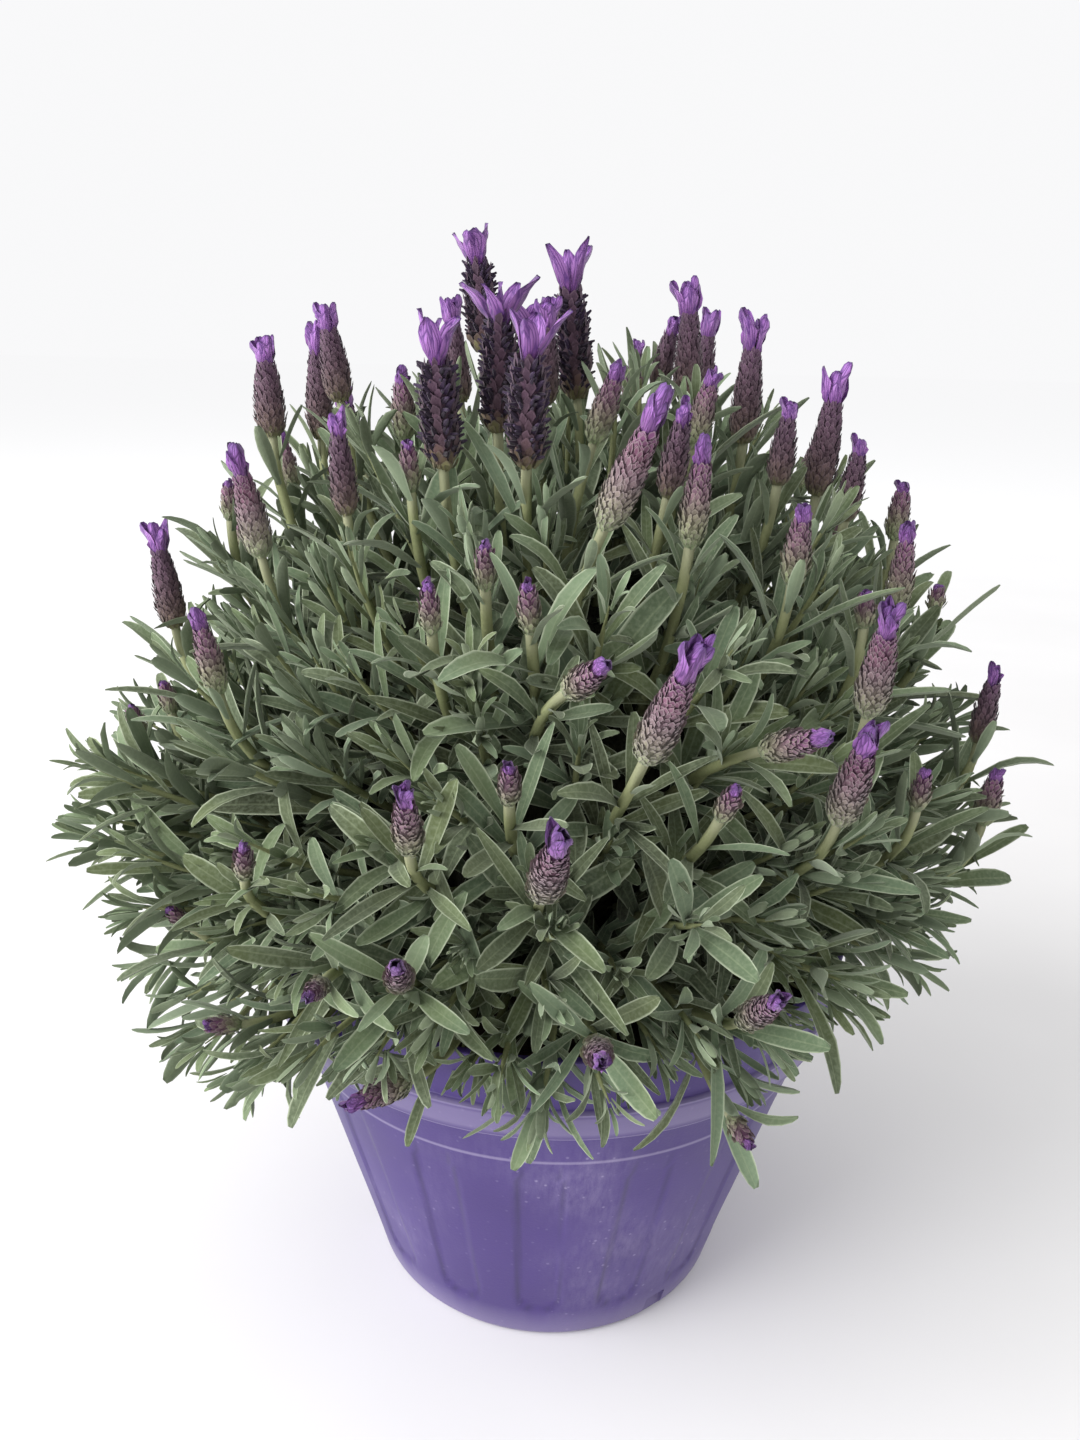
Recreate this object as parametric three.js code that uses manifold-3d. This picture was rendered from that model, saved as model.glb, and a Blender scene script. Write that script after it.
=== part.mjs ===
// A potted French lavender: a plastic pot of soil, and a bush of leafy branches and flower heads.
// Units are millimetres, +Z is up, and the origin is the middle of the pot's underside.
// A bearing of 0 points to the front, along -Y, and 90 to the right, along +X.
import * as THREE from 'three';
import { mergeVertices } from 'three/addons/utils/BufferGeometryUtils.js';
import Module from 'manifold-3d';

const wasm = await Module();
wasm.setup();

// Driving dimensions of the pot.
const RIM_RADIUS = 111;
const POT_HEIGHT = 150;
const FOOT_RADIUS = 70;
const BODY_TOP_RADIUS = 98;
const BODY_TOP = 102;
const BAND_BOTTOM = 118;
const BAND_TOP = 130;
const BAND_RADIUS = 109.5;
const WALL = 2.5;
const FLOOR = 6;
const SHELF = 120;
const FOOT_LIFT = 3;
const UNDERSIDE = { disc: 18, ring: 58, slope: 2 };
const POT_SIDES = 48;
const FLUTES = 16;
const FLUTE_DEPTH = 1;
const FLUTE_BOTTOM = { radius: 73, height: 14 };
const FLUTE_TOP = { radius: 95.7, height: 94 };
const DRAIN_HOLES = 5;
const DRAIN_RADIUS = 4.5;
const DRAIN_RING = 38;
const DRAIN_SIDES = 8;
const NOTCHES = 3;
const NOTCH = { width: 9, depth: 10, height: 2.5, bearing: 38 };

// The inside of the pot's wall, from the lip down to the floor. It steps in over the collar's ledge.
const INSIDE = [
  [RIM_RADIUS - WALL + 0.5, POT_HEIGHT], [BAND_RADIUS - 2 - WALL, BAND_TOP - 6],
  [BAND_RADIUS - 5.2, SHELF + 0.8], [BODY_TOP_RADIUS + 0.3, SHELF],
  [BODY_TOP_RADIUS - WALL, BODY_TOP], [FOOT_RADIUS - WALL, FLOOR],
];

// Driving dimensions of the soil and the woody base.
const SOIL_TOP = 134;
const SOIL_RELIEF = 1.6;
const SOIL_SIDES = 20;
const SOIL_TOP_RINGS = [84, 52, 0];
const SOIL_GAP = 0.9;
const TRUNK_RADIUS = 9;
const TRUNK_FOOT = 112;
const TRUNK_SIDES = 10;
const TRUNK_GNARL = 0.09;
const GAP = 0.35;

// The bush: an ellipsoid that the feet of the flower heads lie on, and a dense heart inside it.
const MIDDLE = 205;
const FEET = { across: 140, above: 132, below: 132 };
const HEART = { across: 115, above: 103, below: 108 };
const CENTRE = new THREE.Vector3(0, 0, MIDDLE);
const CROWN = new THREE.Vector3(0, 0, 150);
const BRANCHES = 8;
const HEART_RINGS = [0, 18, 36, 54, 72, 90, 109, 128];
const HEART_SIDES = 24;
const HEART_ROUGHNESS = 0.07;
const CROWN_RINGS = 3;
const BEYOND = 300;
const TOP_CUT = MIDDLE + HEART.above * Math.cos(THREE.MathUtils.degToRad(HEART_RINGS[CROWN_RINGS]));
const LOWEST_ROOT = 112;
const ROOT_DEPTH = 0.89;
const ROOT_SHARE = 0.38;
const ROOT_MARGIN = 3;

// Leaves and stems.
const LEAF_LENGTH = 31;
const LEAF_WIDTH = 6;
const LEAF_THICKNESS = 1.1;
const LEAF_FOOT = 2.2;
const SMALLEST_LEAF_BED = 176;
const LEAF_ATTEMPTS = 16;
const SLIVER = 0.01;
const STEM_RADIUS = 1.7;
const STEM_STEPS = 2;
const ROOT_ATTEMPTS = 24;

// The leafy shoots that carry no flower: how many, the angles from the top that they end between,
// and the room that they leave to the feet of the flowers and to one another.
const SHOOTS = { count: 10, tries: 400, from: 84, to: 118, roomToFlowers: 20, roomToShoots: 40 };
const GOLDEN_ANGLE = 137.508;
const GOLDEN_SHARE = 0.618;

// The shares of a stem's length that carry a pair of leaves, how far the pairs at a stem's tip and
// on its side open, and how much further one opens, and how often, when it has no room.
const LEAF_PAIRS = { young: [0.96], leafy: [0.55, 0.97] };
const OPENING = { tip: 30, side: 46, further: 6, tries: 5 };

// Each stage of a flower head: radius of its spike, share of its length that is spike,
// length and width of the bracts on its top, how far they spread, and their number.
const STAGES = {
  open: { radius: 5.6, spike: 0.7, bract: 17, width: 8.5, spread: 24, bracts: 3 },
  full: { radius: 5.4, spike: 0.78, bract: 12, width: 7, spread: 16, bracts: 2 },
  young: { radius: 4.4, spike: 0.75, bract: 0, width: 0, spread: 0, bracts: 0 },
};
const SCALE_RELIEF = 0.13;
const SPIKE_SWELL = { foot: 0.42, middle: 0.95, top: 0.5 };
const BUD_RADIUS = 3.2;

// Where each flower head of the front half stands: the bearing of its foot, its angle from the top
// of the bush, how far it stands proud of the ellipsoid, the lean of its axis from upright and the
// bearing it leans to, its whole length, and its stage.
const FRONT_FLOWERS = [
  [-83, 11, 15, 5, -83, 42, 'open'], [-18, 26, 4, 11, 6, 46, 'open'], [-7, 34, 6, 15, 3, 44, 'open'],
  [7, 8, 0, 7, -56, 48, 'open'], [-25, 34, 4, 14, -6, 44, 'open'], [-15, 13, 0, 6, 11, 32, 'full'],
  [-91, 17, 0, 7, 105, 14, 'bud'], [-53, 27, 0, 6, -8, 22, 'young'], [92, 16, 3, 2, -119, 40, 'full'],
  [114, 13, 4, 11, 90, 26, 'young'], [97, 9, 1, 2, 90, 10, 'bud'], [8, 25, 0, 20, 54, 25, 'young'],
  [7, 43, 6, 30, 41, 42, 'full'], [21, 36, 0, 17, 23, 28, 'young'], [38, 26, 0, 16, 51, 24, 'young'],
  [20, 45, 4, 19, 8, 31, 'young'], [65, 26, 0, 4, 15, 40, 'full'], [53, 35, 0, 9, 21, 26, 'young'],
  [66, 38, 0, 6, 41, 40, 'full'], [67, 43, 0, 7, 45, 27, 'young'], [37, 50, 0, 16, 2, 25, 'young'],
  [82, 50, 5, 4, 126, 20, 'young'], [59, 57, 0, 8, -2, 30, 'young'], [79, 61, 4, 4, 140, 9, 'bud'],
  [48, 57, 0, 14, -22, 12, 'bud'], [40, 67, 4, 19, 1, 36, 'full'], [73, 79, 7, 4, 70, 27, 'young'],
  [69, 89, 9, 6, 87, 20, 'young'], [50, 81, 0, 15, -4, 15, 'bud'], [33, 78, 4, 26, 7, 37, 'full'],
  [24, 69, 4, 64, 28, 28, 'young'], [19, 76, 0, 35, 17, 15, 'bud'], [10, 69, 8, 36, 20, 45, 'full'],
  [2, 62, 4, 57, 30, 22, 'young'], [-3, 55, 0, 26, -7, 17, 'bud'], [-10, 50, 0, 22, 2, 15, 'bud'],
  [-16, 56, 0, 24, 0, 17, 'bud'], [-4, 74, 0, 35, 3, 18, 'bud'], [0, 83, 6, 44, 10, 42, 'full'],
  [-14, 80, 4, 37, 6, 31, 'young'], [-38, 90, 0, 27, 19, 16, 'bud'], [-15, 96, 4, 50, 8, 28, 'young'],
  [-25, 99, 4, 72, 0, 18, 'bud'], [-16, 112, 5, 74, -30, 27, 'young'], [6, 102, 6, 62, 2, 30, 'young'],
  [22, 100, 6, 48, 12, 34, 'young'], [24, 116, 10, 95, 20, 13, 'bud'], [-42, 112, 10, 72, -50, 12, 'bud'],
  [-49, 69, 0, 15, -23, 28, 'young'], [-75, 67, 6, 8, -100, 36, 'full'], [-58, 51, 0, 12, -42, 35, 'full'],
  [-79, 51, 8, 3, -160, 14, 'bud'], [-94, 57, 0, 7, -103, 18, 'young'], [-68, 39, 19, 3, -108, 31, 'full'],
  [-98, 37, 10, 2, -135, 42, 'full'], [-82, 30, 15, 8, -85, 32, 'full'], [-42, 42, 0, 12, -10, 31, 'young'],
  [-84, 43, 0, 9, -91, 22, 'young'], [-70, 78, 0, 10, -82, 12, 'bud'], [-70, 82, 9, 10, -89, 12, 'bud'],
  [-56, 105, 4, 40, -58, 12, 'bud'], [-31, 37, 0, 13, -4, 16, 'bud'],
];

// The back half carries its heads by a rule: tiers of them, each with its angle from the top and the
// stages of its heads in turn.
const BACK_TIERS = [
  { fromTop: 22, stages: ['full', 'young', 'open', 'full'] },
  { fromTop: 42, stages: ['young', 'full', 'bud', 'open', 'full'] },
  { fromTop: 63, stages: ['full', 'young', 'bud', 'full', 'young', 'bud'] },
  { fromTop: 84, stages: ['bud', 'young', 'full', 'bud', 'young'] },
  { fromTop: 106, stages: ['young', 'bud', 'bud'] },
];
const BACK_LENGTHS = { open: 44, full: 37, young: 25, bud: 14 };
const BACK_ARC = { from: 106, to: 254 };

// Heads at least this long are pieces of their own, and shorter ones are one with their branch.
const LOOSE_HEAD = 26;

// Finishes.
const FINISHES = {
  pot: { color: 0x5c4a90, roughness: 0.45 },
  soil: { color: 0x2e2118, roughness: 1 },
  wood: { color: 0x6b5840, roughness: 0.9 },
  leaf: { color: 0x6d8062, roughness: 0.8 },
  flower: { color: 0x5b3a5e, roughness: 0.85 },
};

const { clamp, degToRad: radians, radToDeg: degrees } = THREE.MathUtils;
const UP = new THREE.Vector3(0, 0, 1);

// A seeded draw from 0 to 1, the same on every run.
function seededDraw(seed) {
  let state = seed;
  return () => {
    state = (state + 0x6d2b79f5) | 0;
    let mixed = Math.imul(state ^ (state >>> 15), 1 | state);
    mixed = (mixed + Math.imul(mixed ^ (mixed >>> 7), 61 | mixed)) ^ mixed;
    return ((mixed ^ (mixed >>> 14)) >>> 0) / 4294967296;
  };
}
const draw = seededDraw(11);
const between = (low, high) => low + (high - low) * draw();

// A closed three.js geometry as a solid that can be joined and cut.
function solidFrom(geometry) {
  geometry.deleteAttribute('normal');
  geometry.deleteAttribute('uv');
  const merged = mergeVertices(geometry, 1e-4);
  const corners = merged.index.array;
  const kept = [];
  for (let i = 0; i < corners.length; i += 3) {
    const [a, b, c] = [corners[i], corners[i + 1], corners[i + 2]];
    if (a !== b && b !== c && c !== a) kept.push(a, b, c);
  }
  return new wasm.Manifold(new wasm.Mesh({
    numProp: 3,
    vertProperties: merged.attributes.position.array,
    triVerts: new Uint32Array(kept),
  }));
}

// The faces of a solid, each as its three corners, and such faces as a solid again.
function facesOf(solid) {
  const { vertProperties, triVerts } = solid.getMesh();
  const corners = Array.from(triVerts, (vertex) => new THREE.Vector3().fromArray(vertProperties, vertex * 3));
  return Array.from({ length: corners.length / 3 }, (_, i) => corners.slice(3 * i, 3 * i + 3));
}

function solidFromFaces(faces) {
  return solidFrom(new THREE.BufferGeometry().setFromPoints(faces.flat()));
}

// A solid back as a three.js geometry, flat-shaded.
function geometryFrom(solid) {
  const mesh = solid.getMesh();
  const geometry = new THREE.BufferGeometry();
  geometry.setAttribute('position', new THREE.BufferAttribute(mesh.vertProperties, 3));
  geometry.setIndex(new THREE.BufferAttribute(mesh.triVerts, 1));
  const faceted = geometry.toNonIndexed();
  faceted.computeVertexNormals();
  return faceted;
}

// Calls move(vertex) on every vertex of a geometry.
function reshape(geometry, move) {
  const positions = geometry.attributes.position;
  const vertex = new THREE.Vector3();
  for (let i = 0; i < positions.count; i++) {
    vertex.fromBufferAttribute(positions, i);
    move(vertex);
    positions.setXYZ(i, vertex.x, vertex.y, vertex.z);
  }
  return geometry;
}

// A profile of [radius, height] points turned about the vertical axis.
function turned(profile, sides) {
  const points = profile.map(([radius, height]) => new THREE.Vector2(radius, height));
  return new THREE.LatheGeometry(points, sides).rotateX(Math.PI / 2);
}

// A solid upright cylinder between two heights.
function upright(radius, bottom, top, sides, x = 0, y = 0) {
  const geometry = new THREE.CylinderGeometry(radius, radius, top - bottom, sides);
  return solidFrom(geometry.rotateX(Math.PI / 2).translate(x, y, (bottom + top) / 2));
}

// Draws a vertex in or out from the vertical axis.
function scaleAcross(vertex, factor) {
  vertex.x *= factor;
  vertex.y *= factor;
}

// The unit vector that leans from upright by an angle, towards a bearing, both in degrees.
function leaning(lean, bearing) {
  const [l, b] = [radians(lean), radians(bearing)];
  return new THREE.Vector3(Math.sin(l) * Math.sin(b), -Math.sin(l) * Math.cos(b), Math.cos(l));
}

// The point of an ellipsoid round the bush's middle at a bearing and an angle from the top.
function onEllipsoid(size, bearing, fromTop, proud = 0) {
  const way = leaning(fromTop, bearing);
  const height = way.z > 0 ? size.above : size.below;
  const across = size.across + proud;
  return new THREE.Vector3(way.x * across, way.y * across, MIDDLE + way.z * (height + proud));
}

// The pot: a turned shell with a recessed underside, a collar band, and shallow upright grooves.
function potSolid() {
  const { disc, ring, slope } = UNDERSIDE;
  const shell = turned([
    [0, 0], [disc, 0], [disc + slope, FOOT_LIFT], [ring - slope, FOOT_LIFT], [ring, 0], [FOOT_RADIUS - 2, 0],
    [FOOT_RADIUS, 2.5], [FLUTE_BOTTOM.radius, FLUTE_BOTTOM.height], [FLUTE_TOP.radius, FLUTE_TOP.height],
    [BODY_TOP_RADIUS, BODY_TOP], [BODY_TOP_RADIUS + 3, BAND_BOTTOM - 0.5],
    [BAND_RADIUS - 2.5, BAND_BOTTOM], [BAND_RADIUS, BAND_TOP - 1], [BAND_RADIUS - 2, BAND_TOP],
    [RIM_RADIUS, POT_HEIGHT - 1], ...INSIDE, [0, FLOOR],
  ], POT_SIDES);
  const sideAngle = (2 * Math.PI) / POT_SIDES;
  const everySide = POT_SIDES / FLUTES;
  reshape(shell, (v) => {
    const side = Math.round(Math.atan2(v.y, v.x) / sideAngle);
    const radius = Math.hypot(v.x, v.y);
    const onBody = v.z > FLUTE_BOTTOM.height - 1 && v.z < FLUTE_TOP.height + 1;
    if (onBody && side % everySide === 0) scaleAcross(v, (radius - FLUTE_DEPTH) / radius);
  });
  let pot = solidFrom(shell);
  for (let i = 0; i < DRAIN_HOLES; i++) {
    const at = leaning(90, (360 * (i + 0.5)) / DRAIN_HOLES).multiplyScalar(DRAIN_RING);
    pot = pot.subtract(upright(DRAIN_RADIUS, -1, FLOOR + 1, DRAIN_SIDES, at.x, at.y));
  }
  for (let i = 0; i < NOTCHES; i++) {
    const notch = new THREE.BoxGeometry(NOTCH.width, NOTCH.depth, 2 * NOTCH.height);
    notch.translate(0, -FOOT_RADIUS, 0).rotateZ(radians(NOTCH.bearing + (360 * i) / NOTCHES));
    pot = pot.subtract(solidFrom(notch));
  }
  return pot;
}

// The soil: it fills the pot, a little clear of the wall, with a crumbled top and a hole for the trunk.
function soilSolid() {
  const wall = INSIDE.slice(1).toReversed().map(([radius, height]) => [radius - SOIL_GAP, height + GAP]);
  const fill = turned([
    [0, FLOOR + GAP], ...wall, [wall.at(-1)[0], SOIL_TOP - 3],
    ...SOIL_TOP_RINGS.map((radius) => [radius, SOIL_TOP]),
  ], SOIL_SIDES);
  reshape(fill, (v) => {
    if (v.z > SOIL_TOP - 0.5) v.z += SOIL_RELIEF * Math.sin(v.x * 0.31 + 1) * Math.cos(v.y * 0.27);
  });
  return solidFrom(fill).subtract(upright(TRUNK_RADIUS + GAP, TRUNK_FOOT - GAP, SOIL_TOP + 20, 12));
}

// The woody base: an old trunk that stands in the soil and narrows up into the heart of the bush.
function woodSolid() {
  const height = TOP_CUT - GAP - TRUNK_FOOT;
  const trunk = new THREE.CylinderGeometry(TRUNK_RADIUS - 3, TRUNK_RADIUS - 0.6, height, TRUNK_SIDES, 6);
  trunk.rotateX(Math.PI / 2).translate(0, 0, TRUNK_FOOT + height / 2);
  const gnarl = (v) => 1 - TRUNK_GNARL * (1 + Math.sin(v.z * 0.16 + Math.atan2(v.y, v.x) * 3));
  return solidFrom(reshape(trunk, (v) => scaleAcross(v, gnarl(v))));
}

// The dense heart of old twigs and leaves, rough on the outside, that the branches share.
function heartSolid() {
  const profile = HEART_RINGS.map((fromTop) => {
    const point = onEllipsoid(HEART, 90, fromTop);
    return [point.x, point.z];
  });
  const heart = turned([[0, profile.at(-1)[1]], ...profile.toReversed()], HEART_SIDES);
  const columnAngle = (2 * Math.PI) / HEART_SIDES;
  reshape(heart, (v) => {
    const ring = profile.findIndex((point) => Math.abs(point[1] - v.z) < 0.01);
    const column = Math.round(Math.atan2(v.y, v.x) / columnAngle) + HEART_SIDES;
    if (ring <= 0 || ring === profile.length - 1) return;
    const rough = 1 + HEART_ROUGHNESS * ((ring + column) % 2 ? 1 : -1);
    scaleAcross(v, rough);
    if (v.z > TOP_CUT + 1) v.z = TOP_CUT + (v.z - TOP_CUT) * rough;
  });
  return solidFrom(heart);
}

// The bearing of a branch's middle.
function branchBearing(branch) {
  return (360 / BRANCHES) * (branch + 0.5);
}

// One branch's share of the heart: a slice between two bearings, or the whole top above the cut.
function heartShare(heart, branch) {
  if (branch === BRANCHES) {
    const above = new THREE.BoxGeometry(2 * BEYOND, 2 * BEYOND, BEYOND).translate(0, 0, TOP_CUT + BEYOND / 2);
    return heart.intersect(solidFrom(above));
  }
  const half = Math.PI / BRANCHES;
  const tip = GAP / 2 / Math.sin(half);
  const slice = new THREE.Shape([
    new THREE.Vector2(tip, 0),
    new THREE.Vector2(tip + BEYOND, -BEYOND * Math.tan(half)),
    new THREE.Vector2(tip + BEYOND, BEYOND * Math.tan(half)),
  ]);
  const wedge = new THREE.ExtrudeGeometry(slice, { depth: TOP_CUT - GAP, bevelEnabled: false });
  wedge.rotateZ(radians(branchBearing(branch)) - Math.PI / 2);
  const round = upright(TRUNK_RADIUS - 0.2, 0, TOP_CUT + 10, TRUNK_SIDES);
  return heart.intersect(solidFrom(wedge)).subtract(round);
}

// The rings that carry a stem along its curve: where each is, its two directions across, and its
// radius.
function ringsAlong(curve, roll) {
  const frames = curve.computeFrenetFrames(STEM_STEPS, false);
  return frames.tangents.map((tangent, step) => ({
    centre: curve.getPointAt(step / STEM_STEPS),
    first: frames.normals[step].clone().applyAxisAngle(tangent, roll),
    second: frames.binormals[step].clone().applyAxisAngle(tangent, roll),
    radius: STEM_RADIUS * (1 - (0.15 * step) / STEM_STEPS),
  }));
}

// The two rings of a bud, which swells straight out of the end of its stem.
function budRings(last, axis, length) {
  const ring = (share, radius) => ({
    ...last, centre: last.centre.clone().addScaledVector(axis, length * share), radius,
  });
  return [ring(0.42, BUD_RADIUS), ring(1, BUD_RADIUS * 0.3)];
}

// A square stem, as lavender's are: a thin four-sided cylinder laid along its rings.
function stemSolid(rings) {
  const steps = rings.length - 1;
  return solidFrom(reshape(new THREE.CylinderGeometry(1, 1, 1, 4, steps), (v) => {
    const { centre, first, second, radius } = rings[Math.round((v.y + 0.5) * steps)];
    const [across, over] = [v.x * radius, -v.z * radius];
    v.copy(centre).addScaledVector(first, across).addScaledVector(second, over);
  }));
}

// A leaf or bract: a three-sided blade with a keel beneath, as broad as base at its root, full
// width at its middle, and bent towards its upper face. It is given by the three corners of its
// root and of its middle, each as right, left and keel, and by its tip.
function bladeOf(root, way, face, { length, width, thickness, bend, base }) {
  const side = new THREE.Vector3().crossVectors(face, way).normalize();
  const at = (share, across, under) => root.clone().addScaledVector(way, length * share)
    .addScaledVector(side, (across * width) / 2)
    .addScaledVector(face, bend * length * share * share - under * thickness);
  return {
    root: [at(0, base, 0), at(0, -base, 0), at(0, 0, 0.8)],
    middle: [at(0.5, 1, 0), at(0.5, -1, 0), at(0.5, 0, 1)],
    tip: at(1, 0, 0),
  };
}

// A blade as a closed geometry: a three-sided cone in two steps, its corners set to the blade's.
function bladeGeometry({ root, middle, tip }) {
  const foot = root[0].clone().add(root[1]).add(root[2]).divideScalar(3);
  return reshape(new THREE.ConeGeometry(1, 1, 3, 2), (v) => {
    const corner = Math.round((Math.atan2(v.x, v.z) * 3) / (2 * Math.PI) + 3) % 3;
    const atRoot = Math.hypot(v.x, v.z) < 1e-6 ? foot : root[corner];
    v.copy(v.y < -0.25 ? atRoot : v.y < 0.25 ? middle[corner] : tip);
  });
}

// A blade raised from a face, in place of it: the face is drawn in to a small foot round its
// centre, and the blade stands on that foot. It gives the drawn-in face, the blade's faces and the
// foot, which closes the blade, or nothing where the blade would be folded through itself.
function raisedFrom(corners, centre, { middle, tip }) {
  const reach = Math.max(...corners.map((corner) => corner.distanceTo(centre)));
  const foot = corners.map((corner) => corner.clone().lerp(centre, 1 - LEAF_FOOT / reach));
  const mean = (points) => points.reduce((sum, point) => sum.add(point), new THREE.Vector3())
    .divideScalar(points.length);
  const core = mean(middle);
  const fit = (turn) => foot.reduce((sum, corner, i) => {
    const onMiddle = middle[(i + turn) % 3].clone().sub(core).normalize();
    return sum + onMiddle.dot(corner.clone().sub(centre).normalize());
  }, 0);
  const turn = [0, 1, 2].reduce((best, next) => (fit(next) > fit(best) ? next : best));
  const sides = [0, 1, 2].flatMap((i) => {
    const j = (i + 1) % 3;
    const [low, high] = [middle[(i + turn) % 3], middle[(j + turn) % 3]];
    return [
      { face: [foot[i], foot[j], high], inside: mean([centre, centre, core]) },
      { face: [foot[i], high, low], inside: mean([centre, core, core]) },
      { face: [low, high, tip], inside: mean([core, core, tip]) },
    ];
  });
  const facesOut = ({ face, inside }) => {
    const normal = new THREE.Triangle(...face).getNormal(new THREE.Vector3());
    return normal.dot(mean(face).sub(inside)) > LEAF_THICKNESS / 5;
  };
  if (!sides.every(facesOut)) return null;
  const bed = [0, 1, 2].flatMap((i) => {
    const j = (i + 1) % 3;
    return [[corners[i], corners[j], foot[j]], [corners[i], foot[j], foot[i]]];
  });
  return { bed, blade: sides.map(({ face }) => face), foot: foot.toReversed() };
}

// A flower head in its own frame, its foot at the origin and its axis along +Z: a spike of
// overlapping scales that ends in a tuft, with the tall bracts of its stage round the tuft.
function headSolid(stage, length) {
  const { radius, spike, bract, width, spread, bracts } = STAGES[stage];
  const spikeLength = length * spike;
  const [rows, sides] = [stage === 'young' ? 3 : 4, 6];
  const body = new THREE.CylinderGeometry(radius, radius, spikeLength, sides, rows);
  body.rotateX(Math.PI / 2).translate(0, 0, spikeLength / 2);
  reshape(body, (v) => {
    const around = Math.hypot(v.x, v.y);
    const row = Math.round((v.z / spikeLength) * rows);
    if (around < 1e-6) {
      v.z = row === rows && !bracts ? length : v.z;
      return;
    }
    const column = Math.round((Math.atan2(v.x, -v.y) * sides) / (2 * Math.PI) + sides);
    const inner = row > 0 && row < rows;
    const scales = inner ? 1 + SCALE_RELIEF * ((row + column) % 2 ? 1 : -1) : 1;
    const swell = row === 0 ? SPIKE_SWELL.foot : row === rows ? SPIKE_SWELL.top : SPIKE_SWELL.middle;
    v.x *= swell * scales;
    v.y *= swell * scales;
  });
  let head = solidFrom(body);
  const [c, s] = [Math.cos(radians(spread)), Math.sin(radians(spread))];
  for (let i = 0; i < bracts; i++) {
    const out = leaning(90, (360 * i) / bracts + 25);
    const way = UP.clone().multiplyScalar(c).addScaledVector(out, s);
    const face = UP.clone().multiplyScalar(s).addScaledVector(out, -c);
    const root = UP.clone().multiplyScalar(length - bract * c).addScaledVector(out, radius * 0.1);
    const ear = bladeOf(root, way, face, { length: bract, width, thickness: 1, bend: -0.1, base: 0.3 });
    head = head.add(solidFrom(bladeGeometry(ear)));
  }
  return head;
}

// The matrix that stands a flower's head on its foot.
function standing({ foot, axis }) {
  const turn = new THREE.Quaternion().setFromUnitVectors(UP, axis);
  return new THREE.Matrix4().compose(foot, turn, new THREE.Vector3(1, 1, 1)).elements;
}

// Where a stem is rooted in the heart, and in which branch: on the way from its end to the crown,
// a little inside the heart, and clear of the cuts between the branches.
function rootOf(end, shift) {
  const below = end.clone().lerp(CROWN, ROOT_SHARE).add(shift).sub(CENTRE);
  const height = below.z > 0 ? HEART.above : HEART.below;
  const fromTop = degrees(Math.atan2(Math.hypot(below.x, below.y) / HEART.across, below.z / height));
  const bearing = (degrees(Math.atan2(below.x, -below.y)) + 360) % 360;
  const cut = HEART_RINGS[CROWN_RINGS];
  const rooted = (branch, rootBearing, rootFromTop) => {
    const point = onEllipsoid(HEART, rootBearing, rootFromTop).lerp(CENTRE, 1 - ROOT_DEPTH);
    return { branch, point };
  };
  if (fromTop < cut) return rooted(BRANCHES, bearing, Math.min(fromTop, cut - 5));
  const half = 180 / BRANCHES - ROOT_MARGIN;
  const branch = Math.floor((bearing * BRANCHES) / 360);
  const middle = branchBearing(branch);
  return rooted(branch, clamp(bearing, middle - half, middle + half), clamp(fromTop, cut + 5, LOWEST_ROOT));
}

// The curve of a stem from the heart to its end, running out from the crown and turning to its axis.
function stemCurve(root, end, axis) {
  const reach = root.distanceTo(end);
  const start = root.clone().sub(CROWN).normalize().addScaledVector(UP, 0.25).normalize();
  return new THREE.CubicBezierCurve3(
    root.clone(), root.clone().addScaledVector(start, reach * 0.4),
    end.clone().addScaledVector(axis, -reach * 0.4), end.clone(),
  );
}

// A leaf on a stem: at a share of the stem's length, on one of its four flat sides, opened out from it.
function leafOn(rings, share, quarter, opening, length) {
  const step = Math.min(Math.floor(share * STEM_STEPS), STEM_STEPS - 1);
  const [below, above] = [rings[step], rings[step + 1]];
  const at = below.centre.clone().lerp(above.centre, share * STEM_STEPS - step);
  const along = above.centre.clone().sub(below.centre).normalize();
  const out = below.first.clone().add(below.second).applyAxisAngle(along, (quarter * Math.PI) / 2);
  out.addScaledVector(along, -out.dot(along)).normalize();
  const [c, s] = [Math.cos(radians(opening)), Math.sin(radians(opening))];
  const way = along.clone().multiplyScalar(c).addScaledVector(out, s);
  const face = along.clone().multiplyScalar(s).addScaledVector(out, -c);
  const width = LEAF_WIDTH * between(0.85, 1.1);
  const bend = between(-0.16, 0.06);
  const shape = { length, width, thickness: LEAF_THICKNESS, bend, base: 0.2 };
  return solidFrom(bladeGeometry(bladeOf(at, way, face, shape)));
}

// A leaf on the heart, at a random tilt about the direction its shoots grow in. It is larger than
// life, because these few leaves stand for the many that cover the bush.
function heartLeaf(centre, outward) {
  const axis = outward.clone().addScaledVector(UP, 0.45).normalize();
  const out = new THREE.Vector3().crossVectors(UP, axis).normalize();
  out.applyAxisAngle(axis, between(0, 2 * Math.PI));
  const opening = radians(between(28, 66));
  const way = axis.clone().multiplyScalar(Math.cos(opening)).addScaledVector(out, Math.sin(opening));
  const face = axis.clone().multiplyScalar(Math.sin(opening)).addScaledVector(out, -Math.cos(opening));
  const length = LEAF_LENGTH * between(1.05, 1.35);
  const width = LEAF_WIDTH * between(1.25, 1.5);
  const bend = between(-0.16, 0.06);
  return bladeOf(centre, way, face, { length, width, thickness: LEAF_THICKNESS, bend, base: 0.2 });
}

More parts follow.
